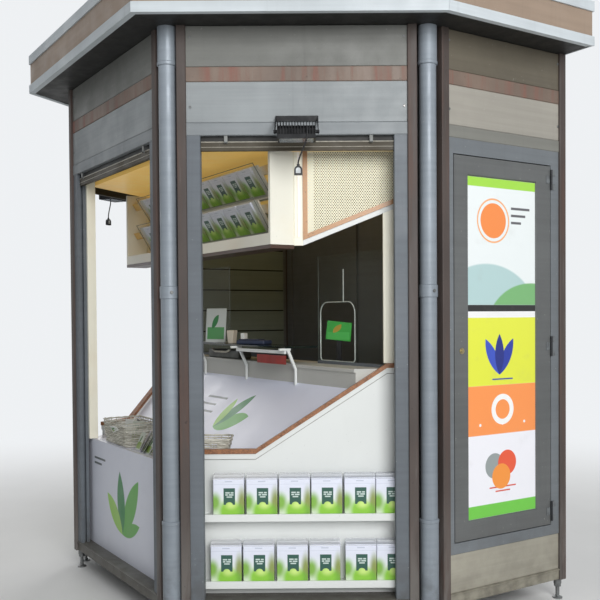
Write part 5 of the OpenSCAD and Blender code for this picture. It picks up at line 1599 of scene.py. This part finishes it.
@dataclass
class DisplayEdge:
    """Bright strip with a faint painted-highlight glow and batten beside the overhead display, and what shows behind
    the holes, whose dark backing is painted shade.
    """

    low: float = 1.852
    hidden_low: float = 1.856
    high: float = 2.255
    tube: Tuple[Flat, Flat, float] = ((0.6090, 0.1245), (0.6190, 0.1300), 0.0022)
    batten: Tuple[Flat, Flat, float] = ((0.5945, 0.1270), (0.6060, 0.1300), 0.001)
    hidden: Tuple[Flat, Flat, float] = ((0.6575, 0.1338), (0.6880, 0.1372), 0.0005)
    backing: Outline = ((0.6565, 1.8485), (1.0985, 2.0224), (1.0985, 2.255), (0.6565, 2.255))
    backing_depths: Flat = (0.1375, 0.1415)

    def build(self) -> None:
        """Sets the three upright strips and the backing on both hands."""
        for hand in Hand:
            # The bright line glows faintly as a painted highlight.
            for name, strip, low, finish, slot in (
                    ("bright_line", self.tube, self.low, BRIGHT_STRIP_PAINTED_HIGHLIGHT, "white_laminate"),
                    ("cream_batten", self.batten, self.low, CREAM_BOARD, "cream_laminate"),
                    ("hidden_batten", self.hidden, self.hidden_low, WHITE_BOARD, "white_laminate")):
                first, last, radius = strip
                piece = Bench.put(Bench.block((*first, low), (*last, self.high), radius), hand.frame())
                dress(piece, f"{name}_{hand.value}", finish)
            # Dark backing behind the holes: painted shade.
            backing = Bench.put(Bench.plate(self.backing, *self.backing_depths), hand.frame())
            dress(backing, f"hole_painted_shade_{hand.value}", HOLE_PAINTED_SHADE)


@dataclass
class ShelfArms:
    """Three bent flat arms that carry the glass shelf, with a rail between the middle and the right one."""

    step: float = 0.540
    width: float = 0.014
    outline: Outline = (
        (0.8017, 1.1113), (0.8017, 1.1930), (0.7520, 1.2967), (0.7070, 1.2967), (0.7070, 1.3087),
        (0.7760, 1.3087), (0.7760, 1.2967), (0.7700, 1.2967), (0.8137, 1.1990), (0.8137, 1.1205))
    rail: Tuple[Flat, Flat] = ((0.7400, 1.2787), (0.7520, 1.2967))

    def build(self) -> None:
        """Cuts one arm, sets three and adds the rail."""
        arm = Bench.put(Bench.plate(self.outline, -self.width / 2, self.width / 2), SWAP)
        pattern = Bench.rounded(arm, 0.0018)
        arms = [Bench.copy(pattern, spot((k * self.step, 0, 0))) for k in (-1, 0, 1)]
        rail = Bench.put(Bench.block((0.0, *self.rail[0]), (self.step, *self.rail[1]), 0.002), PLAN)
        piece = Bench.joined(arms + [rail])
        dress(piece, "shelf_arms", WHITE_BOARD)
        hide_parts("shelf_brackets")
        Bench.drop(pattern)


@dataclass
class EdgingShadowLine:
    """Painted shadow: a grey line under the white edging of both cheeks."""

    line: Outline = ((0.1275, 0.7990), (0.4020, 0.7990), (1.0300, 1.2040), (1.0975, 1.2040))
    tall: float = 0.0040
    depths: Flat = (0.1284, 0.1302)

    def build(self) -> None:
        """Follows the lower edge of the edging with a thin strip on each cheek."""
        outline = list(self.line) + [(s, z - self.tall) for s, z in reversed(self.line)]
        for hand in Hand:
            strip = Bench.put(Bench.plate(outline, *self.depths), hand.frame())
            dress(strip, f"edging_painted_shadow_{hand.value}", EDGING_PAINTED_SHADOW)


@dataclass
class TrayEdges:
    """Ground edges of the two glass fronts of the overhead trays."""

    half: float = 0.750
    foot_y: float = 0.536
    head_y: float = 0.442
    heights: Outline = ((1.8963, 2.0510), (2.0803, 2.2180))
    radius: float = 0.0018

    def build(self) -> None:
        """Runs a thin edge up both ends and along the top of each glass front."""
        paths = []
        for foot, head in self.heights:
            left, right = (-self.half, self.head_y, head), (self.half, self.head_y, head)
            paths += [[(end[0], self.foot_y, foot), end] for end in (left, right)] + [[left, right]]
        piece = Bench.put(Bench.tubes(paths, self.radius), PLAN)
        dress(smooth(piece), "tray_glass_edges", DIM_EDGE)


@dataclass
class SlatGrooves:
    """Painted shade: dark strips in the bottoms of the slatted wall's grooves."""

    bottom: Flat = (-1.3167, -1.3137)
    first: Flat = (1.3652, 1.3738)  # foot and top of the lowest strip
    pitch: float = 0.152
    count: int = 6
    span: Flat = (1.154, 1.848)

    def build(self) -> None:
        """Lays one dark strip of painted shade in each groove."""
        low, high = zip(self.bottom, self.span, self.first)
        pattern = Bench.block(low, high, 0.0004)
        strips = [Bench.copy(pattern, spot((0.0, 0.0, k * self.pitch))) for k in range(self.count)]
        dress(Bench.joined(strips), "slat_groove_painted_shade", SLAT_SHADE)
        Bench.drop(pattern)


@dataclass
class ServingHoleRim:
    """Pale rim round the serving hole, the edges of the panes and the card behind the hole."""

    left: float = 0.538
    right: float = 0.853
    low: float = 1.2405
    high: float = 1.550
    corner: float = 0.060
    low_corner: float = 0.016
    low_cut: float = 0.005
    y: float = 0.9705
    rim: float = 0.0028
    pane_end: float = 0.5150
    pane_edge: Box = ((-0.0018, 0.9705, 1.240), (0.0018, 0.9725, 1.798))
    bar: Box = ((0.7492, 0.9682, 1.552), (0.7538, 0.9725, 1.719))
    card: Outline = ((0.5099, 1.3519), (0.7398, 1.3431), (0.7543, 1.4397), (0.5306, 1.4526))
    card_depths: Flat = (1.020, 1.0225)
    card_leg: Box = ((0.612, 1.0228, 1.2235), (0.652, 1.0268, 1.40))
    card_foot: Box = ((0.582, 1.0100, 1.2235), (0.682, 1.0550, 1.2285))

    def rim_line(self) -> List[Point]:
        """Gives the rim's closed line.

        Returns:
            Its points, with round upper corners and cut lower ones.
        """
        low, cut, end = self.low, self.low_cut, self.low_corner
        line: List[Flat] = [(self.right, low + end), (self.right, self.high - self.corner)]
        for centre_x, start in ((self.right - self.corner, 0), (self.left + self.corner, 90)):
            for a in range(start, start + 91, 15):
                line.append((centre_x + self.corner * math.cos(math.radians(a)),
                             self.high - self.corner + self.corner * math.sin(math.radians(a))))
        line += [(self.left, self.high - self.corner), (self.left, low + end), (self.left + cut, low + cut),
                 (self.left + end, low), (self.right - end, low), (self.right - cut, low + cut)]
        return [(x, self.y, z) for x, z in line]

    def build(self) -> None:
        """Makes the rim, the pane edges and the card on its stand."""
        rim = Bench.put(Bench.tubes([self.rim_line()], self.rim, True, 2), PLAN)
        dress(smooth(rim), "serving_hole_rim", PANE_EDGE)
        pattern = Bench.block(*self.pane_edge, 0.0006)
        sides = [Bench.copy(pattern, spot((side * self.pane_end, 0.0, 0.0))) for side in (-1, 1)]
        dress(Bench.joined(sides), "pane_edges", DIM_EDGE)
        Bench.drop(pattern)
        bar = Bench.put(Bench.block(*self.bar, 0.001), PLAN)
        dress(bar, "pane_bar", PANE_EDGE)
        card = Bench.plate(self.card, *self.card_depths)
        across, up = zip(*self.card)
        Bench.put(Bench.map_front(card, (min(across), min(up)), (max(across), max(up))), PLAN)
        dress(card, "window_card", GREEN_CARD)
        stand = [Bench.block(*self.card_leg, 0.001), Bench.block(*self.card_foot, 0.0015)]
        dress(Bench.put(Bench.joined(stand), PLAN), "window_card_stand", BLACK_PLASTIC)


@dataclass
class CollarBolts:
    """Hexagon bolts with washers on the middle collars of the two downpipes."""

    centres: Tuple[Tuple[Flat, float], ...] = (((0.6947, 0.0281), -10.0), ((1.3465, 1.0365), -3.0))
    reach: float = 0.0437
    z: float = 1.590
    washer: Tuple[int, float, float, float] = (18, 0.0085, 0.0024, 0.0012)  # sides, radius, depth, middle
    head: Tuple[int, float, float, float] = (6, 0.0062, 0.0052, 0.0046)

    def build(self) -> None:
        """Turns one bolt and sets it on both collars."""
        parts = []
        for sides, radius, depth, middle in (self.washer, self.head):
            Bench.clear()
            bpy.ops.mesh.primitive_cylinder_add(vertices=sides, radius=radius, depth=depth, location=(0, 0, middle))
            parts.append(Bench.settle(bpy.context.object))
        pattern = Bench.rounded(Bench.joined(parts), 0.0005)
        bolts = []
        for (x, y), turn in self.centres:
            out = Matrix.Translation((self.reach, 0, 0)) @ Matrix.Rotation(math.radians(90), 4, "Y")
            bolts.append(Bench.copy(pattern, spot((x, y, self.z), turn) @ out))
        dress(Bench.joined(bolts), "collar_bolts", STEEL)
        Bench.drop(pattern)


@dataclass
class Pack:
    """Small upright pack with a printed front and a clear lid."""

    width: float = 0.146
    height: float = 0.178
    depth: float = 0.052
    lid: float = 0.0175

    def card(self) -> Piece:
        """Makes the printed body with a mapped front."""
        body = Bench.block((-self.width / 2, 0.0, 0.0), (self.width / 2, self.depth, self.height), 0.004)
        return Bench.map_front(body, (-self.width / 2, 0.0), (self.width / 2, self.height))

    def cap(self) -> Piece:
        """Makes the clear lid, with its thin lip.

        Returns:
            The lid.
        """
        side, high = self.width / 2, self.height
        top = Bench.block((-side, -0.001, high), (side, self.depth + 0.001, high + self.lid), 0.003)
        lip = Bench.block((-side - 0.001, -0.003, high - 0.006), (side + 0.001, self.depth, high), 0.001)
        return Bench.joined([top, lip])


@dataclass
class CheekPacks:
    """Two rows of packs on the shelves of one diagonal's cheek."""

    hand: Hand
    floors: Flat = (0.5395, 0.2235)
    depth: float = 0.066
    rows: Tuple[Tuple[float, ...], ...] = (
        (0.2765, 0.4330, 0.587, 0.7385, 0.8945, 1.043),
        (0.2620, 0.4160, 0.5745, 0.728, 0.898, 1.046))
    pack: Pack = field(default_factory=Pack)

    def build(self) -> None:
        """Sets the packs along both shelves."""
        card, cap = self.pack.card(), self.pack.cap()
        rng = random.Random(7 if self.hand is Hand.RIGHT else 11)
        cards: List[Piece] = []
        caps: List[Piece] = []
        for z, row in zip(self.floors, self.rows):
            for s in row:
                lean = Matrix.Rotation(math.radians(rng.uniform(-1.2, 1.2)), 4, "Z")
                place = self.hand.frame() @ Matrix.Translation((s, self.depth, z)) @ lean
                cards.append(Bench.copy(card, place))
                caps.append(Bench.copy(cap, place))
        dress(Bench.joined(cards), f"cheek_packs_{self.hand.value}", PACK)
        dress(Bench.joined(caps), f"cheek_pack_lids_{self.hand.value}", PACK_LID)
        Bench.drop(card)
        Bench.drop(cap)


@dataclass
class OverheadPacks:
    """Packs that lean behind the glass of the two overhead trays."""

    pitch: float = 0.155
    count: int = 9
    feet: Outline = ((1.8945, 0.150), (2.0785, 0.137))  # foot and rise of each row
    y: float = 0.5445
    lean: float = 0.096

    def build(self) -> None:
        """Sets both rows of packs along the display."""
        cards: List[Piece] = []
        for foot, rise in self.feet:
            pattern = Pack(0.145, math.hypot(rise, self.lean) * 0.92, 0.012).card()
            tilt = Matrix.Rotation(math.atan2(self.lean, rise), 4, "X")
            for k in range(self.count):
                x = (k - (self.count - 1) / 2) * self.pitch
                cards.append(Bench.copy(pattern, PLAN @ Matrix.Translation((x, self.y, foot)) @ tilt))
            Bench.drop(pattern)
        dress(Bench.joined(cards), "overhead_packs", PACK)


@dataclass
class WovenBasket:
    """Limed willow basket: upright stakes, rows of weavers that pass before and behind them, and a rolled rim."""

    name: str
    length: float
    width: float
    height: float
    matrix: Matrix
    flare: float = 0.015
    wall: float = 0.0168
    corner: float = 0.020
    stake_gap: float = 0.024
    row_step: float = 0.0094
    strand: float = 0.0038  # radius of a weaver
    hole: Flat = (0.070, 0.022)
    hole_down: float = 0.022
    binding: float = 0.003  # radius of the rope round the handle hole
    margin: float = 0.006  # from the foot and the top to the middle of their ropes
    first_row: float = 0.010
    sway: float = 0.0003
    stake: float = 0.0018
    cut: float = 0.004  # from the base and the handle hole to the stakes' ends
    rope: float = 0.0034
    rope_swing: Flat = (0.0028, 0.0022)  # outwards and upwards
    rope_turn: float = 2.1  # from stake to stake, in radians
    floor_strand: float = 0.0022
    floor_step: float = 0.008
    floor_z: Flat = (0.0035, 0.0012)  # height and swing

    def around(self, z: float, inward: float) -> Tuple[List[Vector], List[Vector]]:
        """Gives points and outward directions round the basket at a height.

        Args:
            z: Height over the basket's base.
            inward: Distance behind the outer face.

        Returns:
            The points, one a stake gap apart, and the outward direction at each.
        """
        grow = self.flare * z / self.height - inward
        half_l, half_w, r = self.length / 2 + grow, self.width / 2 + grow, self.corner
        spots: List[Vector] = []
        normals: List[Vector] = []
        corners = ((half_l - r, -half_w + r, -90), (half_l - r, half_w - r, 0), (-half_l + r, half_w - r, 90),
                   (-half_l + r, -half_w + r, 180))
        for k, (cx, cy, turn) in enumerate(corners):
            for a in (0, 45, 90):
                out = Vector((math.cos(math.radians(turn + a)), math.sin(math.radians(turn + a)), 0))
                spots.append(Vector((cx, cy, z)) + out * r)
                normals.append(out)
            nx, ny, _ = corners[(k + 1) % 4]
            out = Vector((math.cos(math.radians(turn + 90)), math.sin(math.radians(turn + 90)), 0))
            first, last = Vector((cx, cy, z)) + out * r, Vector((nx, ny, z)) + out * r
            base = self.length if k % 2 else self.width
            count = 2 * max(2, round((base - 2 * r) / self.stake_gap / 2))
            for j in range(1, count):
                spots.append(first.lerp(last, j / count))
                normals.append(out)
        return spots, normals

    def at_hole(self, place: Vector, out: Vector) -> bool:
        """Tells whether a place of the near side lies across the handle hole."""
        return out.y < -0.9 and abs(place.x) < self.hole[0] / 2

    def weavers(self) -> Piece:
        """Makes the rows that go before and behind the stakes and stop at the handle hole.

        Returns:
            All rows.
        """
        swing = self.wall / 2 - self.strand
        whole: List[List[Point]] = []
        broken: List[List[Point]] = []
        low, high = self.height - self.hole_down - self.hole[1], self.height - self.hole_down
        for row in range(int((self.height - 3 * self.margin) / self.row_step)):
            z = self.first_row + row * self.row_step
            spots, normals = self.around(z, self.wall / 2)
            line = []
            for k, (place, out) in enumerate(zip(spots, normals)):
                sway = Vector((0, 0, self.sway * math.sin(k * 1.7 + row)))
                line.append(tuple(place + out * swing * (1 if (k + row) % 2 else -1) + sway))
            if low - self.binding < z < high + self.binding:
                missing = [k for k, (place, out) in enumerate(zip(spots, normals)) if self.at_hole(place, out)]
                start = max(missing) + 1
                broken.append([line[(start + j) % len(line)] for j in range(len(line) - len(missing))])
            else:
                whole.append(line)
        return Bench.joined([Bench.tubes(whole, self.strand, True), Bench.tubes(broken, self.strand)])

    def stakes(self) -> Piece:
        """Makes the upright stakes, cut at the handle hole.

        Returns:
            All stakes.
        """
        feet, _ = self.around(self.cut, self.wall / 2)
        tops, normals = self.around(self.height - self.margin, self.wall / 2)
        low = self.height - self.hole_down - self.hole[1]
        paths = []
        for foot, top, out in zip(feet, tops, normals):
            if self.at_hole(top, out):
                paths.append([tuple(foot), tuple(foot.lerp(top, (low - self.cut) / self.height))])
                paths.append([tuple(foot.lerp(top, 1 - self.hole_down / self.height + 0.03)), tuple(top)])
            else:
                paths.append([tuple(foot), tuple(top)])
        return Bench.tubes(paths, self.stake)

    def borders(self) -> Piece:
        """Makes the rolled rim, the foot rope and the binding of the handle hole.

        Returns:
            All ropes.
        """
        paths = []
        for z in (self.height - self.margin, self.margin):
            spots, normals = self.around(z, self.wall / 2)
            for phase in (0.0, math.pi):
                line = []
                for k, (place, out) in enumerate(zip(spots, normals)):
                    following = spots[(k + 1) % len(spots)]
                    for t in (0.0, 0.5):
                        turn = (k + t) * self.rope_turn + phase
                        line.append(tuple(place.lerp(following, t) + out * self.rope_swing[0] * math.cos(turn)
                                          + Vector((0, 0, self.rope_swing[1] * math.sin(turn)))))
                paths.append(line)
        w, h = self.hole[0] / 2, self.hole[1] / 2
        mid = self.height - self.hole_down - h
        y = -(self.width / 2 + self.flare * mid / self.height) + self.wall / 2 - self.binding
        ring = []
        for k in range(20):
            a = 2 * math.pi * k / 20
            ring.append(((w - h) * (1 if math.cos(a) > 0 else -1) + h * math.cos(a), y, mid + h * math.sin(a)))
        return Bench.joined([Bench.tubes(paths, self.rope, True), Bench.tubes([ring], self.binding, True)])

    def base(self) -> Piece:
        """Makes the flat woven base.

        Returns:
            All its strands.
        """
        l, w = self.length / 2 - self.margin, self.width / 2 - self.margin
        level, swing = self.floor_z
        count = int(2 * w / self.floor_step)
        paths = [[(-l + 2 * l * j / 24, -w + 2 * w * k / count, level + swing * (1 if (j + k) % 2 else -1))
                  for j in range(25)] for k in range(count + 1)]
        return Bench.tubes(paths, self.floor_strand, False, 0)

    def build(self) -> None:
        """Weaves the whole basket."""
        piece = Bench.joined([self.weavers(), self.stakes(), self.borders(), self.base()])
        Bench.put(piece, self.matrix)
        dress(smooth(piece, 60), self.name, WILLOW)
        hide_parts("gift_baskets")


@dataclass
class ConnectorFaces:
    """Pale inlays in the recessed faces of the hanging connectors."""

    s: float = 0.620
    depth: float = -0.182
    top: float = 2.135
    width: float = 0.036
    height: float = 0.040
    inset: float = 0.0075
    sunk: Flat = (0.0054, 0.0078)  # distances of an inlay's faces from the connector's middle

    def build(self) -> None:
        """Makes an arched inlay for each face of both connectors."""
        r, foot = self.width / 2 - self.inset, self.top - self.height + self.inset
        centre = self.top - self.width / 2
        outline = [(r * math.cos(math.radians(a)), centre + r * math.sin(math.radians(a))) for a in range(0, 181, 15)]
        outline += [(-r, foot), (r, foot)]
        near, far = self.sunk
        inlays = [Bench.rounded(Bench.plate(outline, *depths), 0.0006) for depths in ((-far, -near), (near, far))]
        pattern = Bench.joined(inlays)
        pieces = [Bench.copy(pattern, hand.frame() @ Matrix.Translation((self.s, self.depth, 0))) for hand in Hand]
        dress(Bench.joined(pieces), "connector_inlays", PALE_PLASTIC)
        Bench.drop(pattern)


@dataclass
class ShelfGoods:
    """Things on the glass shelf, the counter shelf and the worktop, all plain and unlettered."""

    shelf: float = 1.3172
    worktop: float = 1.2232
    counter: float = 0.7702
    turn: float = 28.0  # how far the things on the glass shelf face to the side, in degrees
    tall_card: Flat = (0.150, 0.208)
    tall_card_at: Flat = (-0.415, 0.815)
    tall_card_foot: Box = ((-0.085, -0.012, 0.0), (0.085, 0.040, 0.005))
    leaflet: Flat = (0.066, 0.100)
    leaflet_growth: float = 0.012
    leaflets: Tuple[Tuple[float, float, float, float], ...] = (  # place in the plan, lean back and turn
        (0.046, 0.116, 24, -2), (0.074, 0.124, 32, -12), (0.100, 0.112, 28, -24), (0.126, 0.120, 36, -10),
        (0.152, 0.108, 30, -28), (0.178, 0.116, 35, -14), (0.206, 0.106, 27, -6), (0.232, 0.112, 33, -22))
    paper: Outline = ((-0.262, 0.872), (-0.150, 0.876), (-0.118, 0.862), (-0.196, 0.838))
    paper_depths: Flat = (0.0745, 0.0765)
    paper_print: Outline = ((-0.240, 0.868), (-0.128, 0.868), (-0.190, 0.846))
    paper_print_depths: Flat = (0.0715, 0.0730)
    basket_cards: Tuple[Tuple[str, Finish, Flat, float, float], ...] = (  # with place, turn and height
        ("basket_card_white", WHITE_BOX, (-0.270, 0.175), 10, 0.120),
        ("basket_card_dark", BLACK_PLASTIC, (-0.215, 0.200), -14, 0.126),
        ("basket_card_print", LEAFLET_A, (-0.150, 0.185), 22, 0.122))
    basket_card_width: float = 0.085
    beaker: Outline = ((-0.016, 0.0), (0.016, 0.0), (0.026, 0.078), (-0.026, 0.078))
    beaker_half: float = 0.022
    beaker_at: Flat = (-0.190, 0.815)
    box: Box = ((-0.013, -0.018, 0.0), (0.013, 0.018, 0.062))
    box_at: Flat = (-0.105, 0.850)
    case: Box = ((-0.095, -0.045, 0.0), (0.095, 0.045, 0.024))
    case_lid: Box = ((-0.085, -0.036, 0.023), (0.050, 0.036, 0.030))
    case_at: Flat = (0.045, 0.835)
    strip: Box = ((0.238, 0.7450, 1.2230), (0.545, 0.7475, 1.2700))
    tray: Box = ((-0.550, 0.835, 1.2232), (-0.150, 0.925, 1.2752))
    handle_middle: float = -0.362
    handle: Tuple[Point, ...] = (  # its right half: from the middle, on Y and over the worktop
        (0.118, 0.830, 0.056), (0.100, 0.826, 0.047), (0.073, 0.824, 0.040))

    def card(self, width: float, height: float) -> Piece:
        """Makes an upright card of that size with a mapped front."""
        piece = Bench.block((-width / 2, 0, 0), (width / 2, 0.002, height), 0.0006)
        return Bench.map_front(piece, (-width / 2, 0), (width / 2, height))

    def cards(self) -> None:
        """Stands the tall card on its foot and lays out the leaflets in two prints."""
        stand = Bench.put(self.card(*self.tall_card), spot((*self.tall_card_at, self.shelf + 0.004), self.turn, -5))
        dress(stand, "shelf_card", WHITE_CARD)
        foot = Bench.put(Bench.block(*self.tall_card_foot, 0.002), spot((*self.tall_card_at, self.shelf), self.turn))
        dress(foot, "shelf_card_stand", PALE_PLASTIC)
        groups: List[List[Piece]] = [[], []]
        for k, (x, y, lean, turned) in enumerate(self.leaflets):
            leaflet = self.card(self.leaflet[0], self.leaflet[1] + self.leaflet_growth * (k % 3))
            groups[(k * 2 // 3) % 2].append(Bench.put(leaflet, spot((x, y, self.counter + 0.0005), turned, -lean)))
        for group, finish, name in zip(groups, (LEAFLET_A, LEAFLET_B), ("leaflets_a", "leaflets_b")):
            dress(Bench.joined(group), name, finish)

    def basket_goods(self) -> None:
        """Puts a folded sheet through the long basket's handle hole and a few cards inside it."""
        for name, finish, outline, depths in (("basket_paper", WHITE_BOX, self.paper, self.paper_depths),
                                              ("basket_paper_print", LEAFLET_A, self.paper_print,
                                               self.paper_print_depths)):
            piece = Bench.map_front(Bench.plate(outline, *depths), (-0.262, 0.838), (-0.118, 0.876))
            dress(Bench.put(piece, PLAN), name, finish)
        for name, finish, place, turned, tall in self.basket_cards:
            card = Bench.put(self.card(self.basket_card_width, tall), spot((*place, self.counter + 0.008), turned, -12))
            dress(card, name, finish)

    def build(self) -> None:
        """Places the cards, the boxes, the case, the tray and the red strip."""
        self.cards()
        self.basket_goods()
        beaker = Bench.rounded(Bench.plate(self.beaker, -self.beaker_half, self.beaker_half), 0.004)
        box = Bench.block(*self.box, 0.002)
        case = Bench.joined([Bench.block(*self.case, 0.007, 3), Bench.block(*self.case_lid, 0.003)])
        for name, piece, place, finish, slot in (
                ("shelf_beaker", beaker, self.beaker_at, BOX_CARD, "white_laminate"),
                ("shelf_box", box, self.box_at, WHITE_BOX, "white_laminate"),
                ("shelf_case", case, self.case_at, NAVY_CASE, "black_plastic")):
            Bench.put(piece, spot((*place, self.shelf), self.turn))
            dress(piece, name, finish)
        strip = Bench.put(Bench.block(*self.strip, 0.001), PLAN)
        dress(strip, "shelf_edge_strip", RED_PLASTIC)
        tray = Bench.put(Bench.block(*self.tray, 0.008, 3), PLAN)
        dress(tray, "worktop_tray", TRAY_GREY)
        left, right = ([(self.handle_middle + side * x, y, self.worktop + z) for x, y, z in self.handle]
                       for side in (-1, 1))
        handle = smooth(Bench.put(Bench.tubes([left + right[::-1]], 0.007, False, 3), PLAN))
        dress(handle, "worktop_tray_handle", CREAM_HANDLE)


def dress_nodes() -> None:
    """Gives every node of the frame its finish."""
    for finish, names in NODE_FINISHES.items():
        for name in names:
            mesh = NODES[name].data
            mesh.materials.clear()
            mesh.materials.append(finish.material())
    LOG.info("dressed %d nodes", sum(len(names) for names in NODE_FINISHES.values()))


def main() -> None:
    """Builds the studio and every piece in order."""
    logging.basicConfig(level=logging.INFO, format="%(name)s %(message)s")
    studio = Studio()
    studio.set_camera()
    for hand in Hand:
        HangingLead(hand).build()
    studio.build()
    dress_nodes()
    for assembly in (HeaderScrews(), RailHooks(), ConnectorFaces(), ShutterRails(), ShelfArms(), EdgingShadowLine(),
                     TrayEdges(), SlatGrooves(), DisplayEdge(), ServingHoleRim(), CollarBolts()):
        assembly.build()
    for hand in Hand:
        PerforatedBoard(hand).build()
        CheekPacks(hand).build()
    OverheadPacks().build()
    WovenBasket("long_basket", 0.340, 0.206, 0.135, spot((-0.210, 0.191, 0.7703))).build()
    WovenBasket("short_basket", 0.196, 0.130, 0.122,
                Wall.RIGHT_DIAGONAL.frame() @ Matrix.Translation((0.152, 0.240, 0.7703)), flare=0.036).build()
    ShelfGoods().build()


if __name__ == "__main__":
    main()
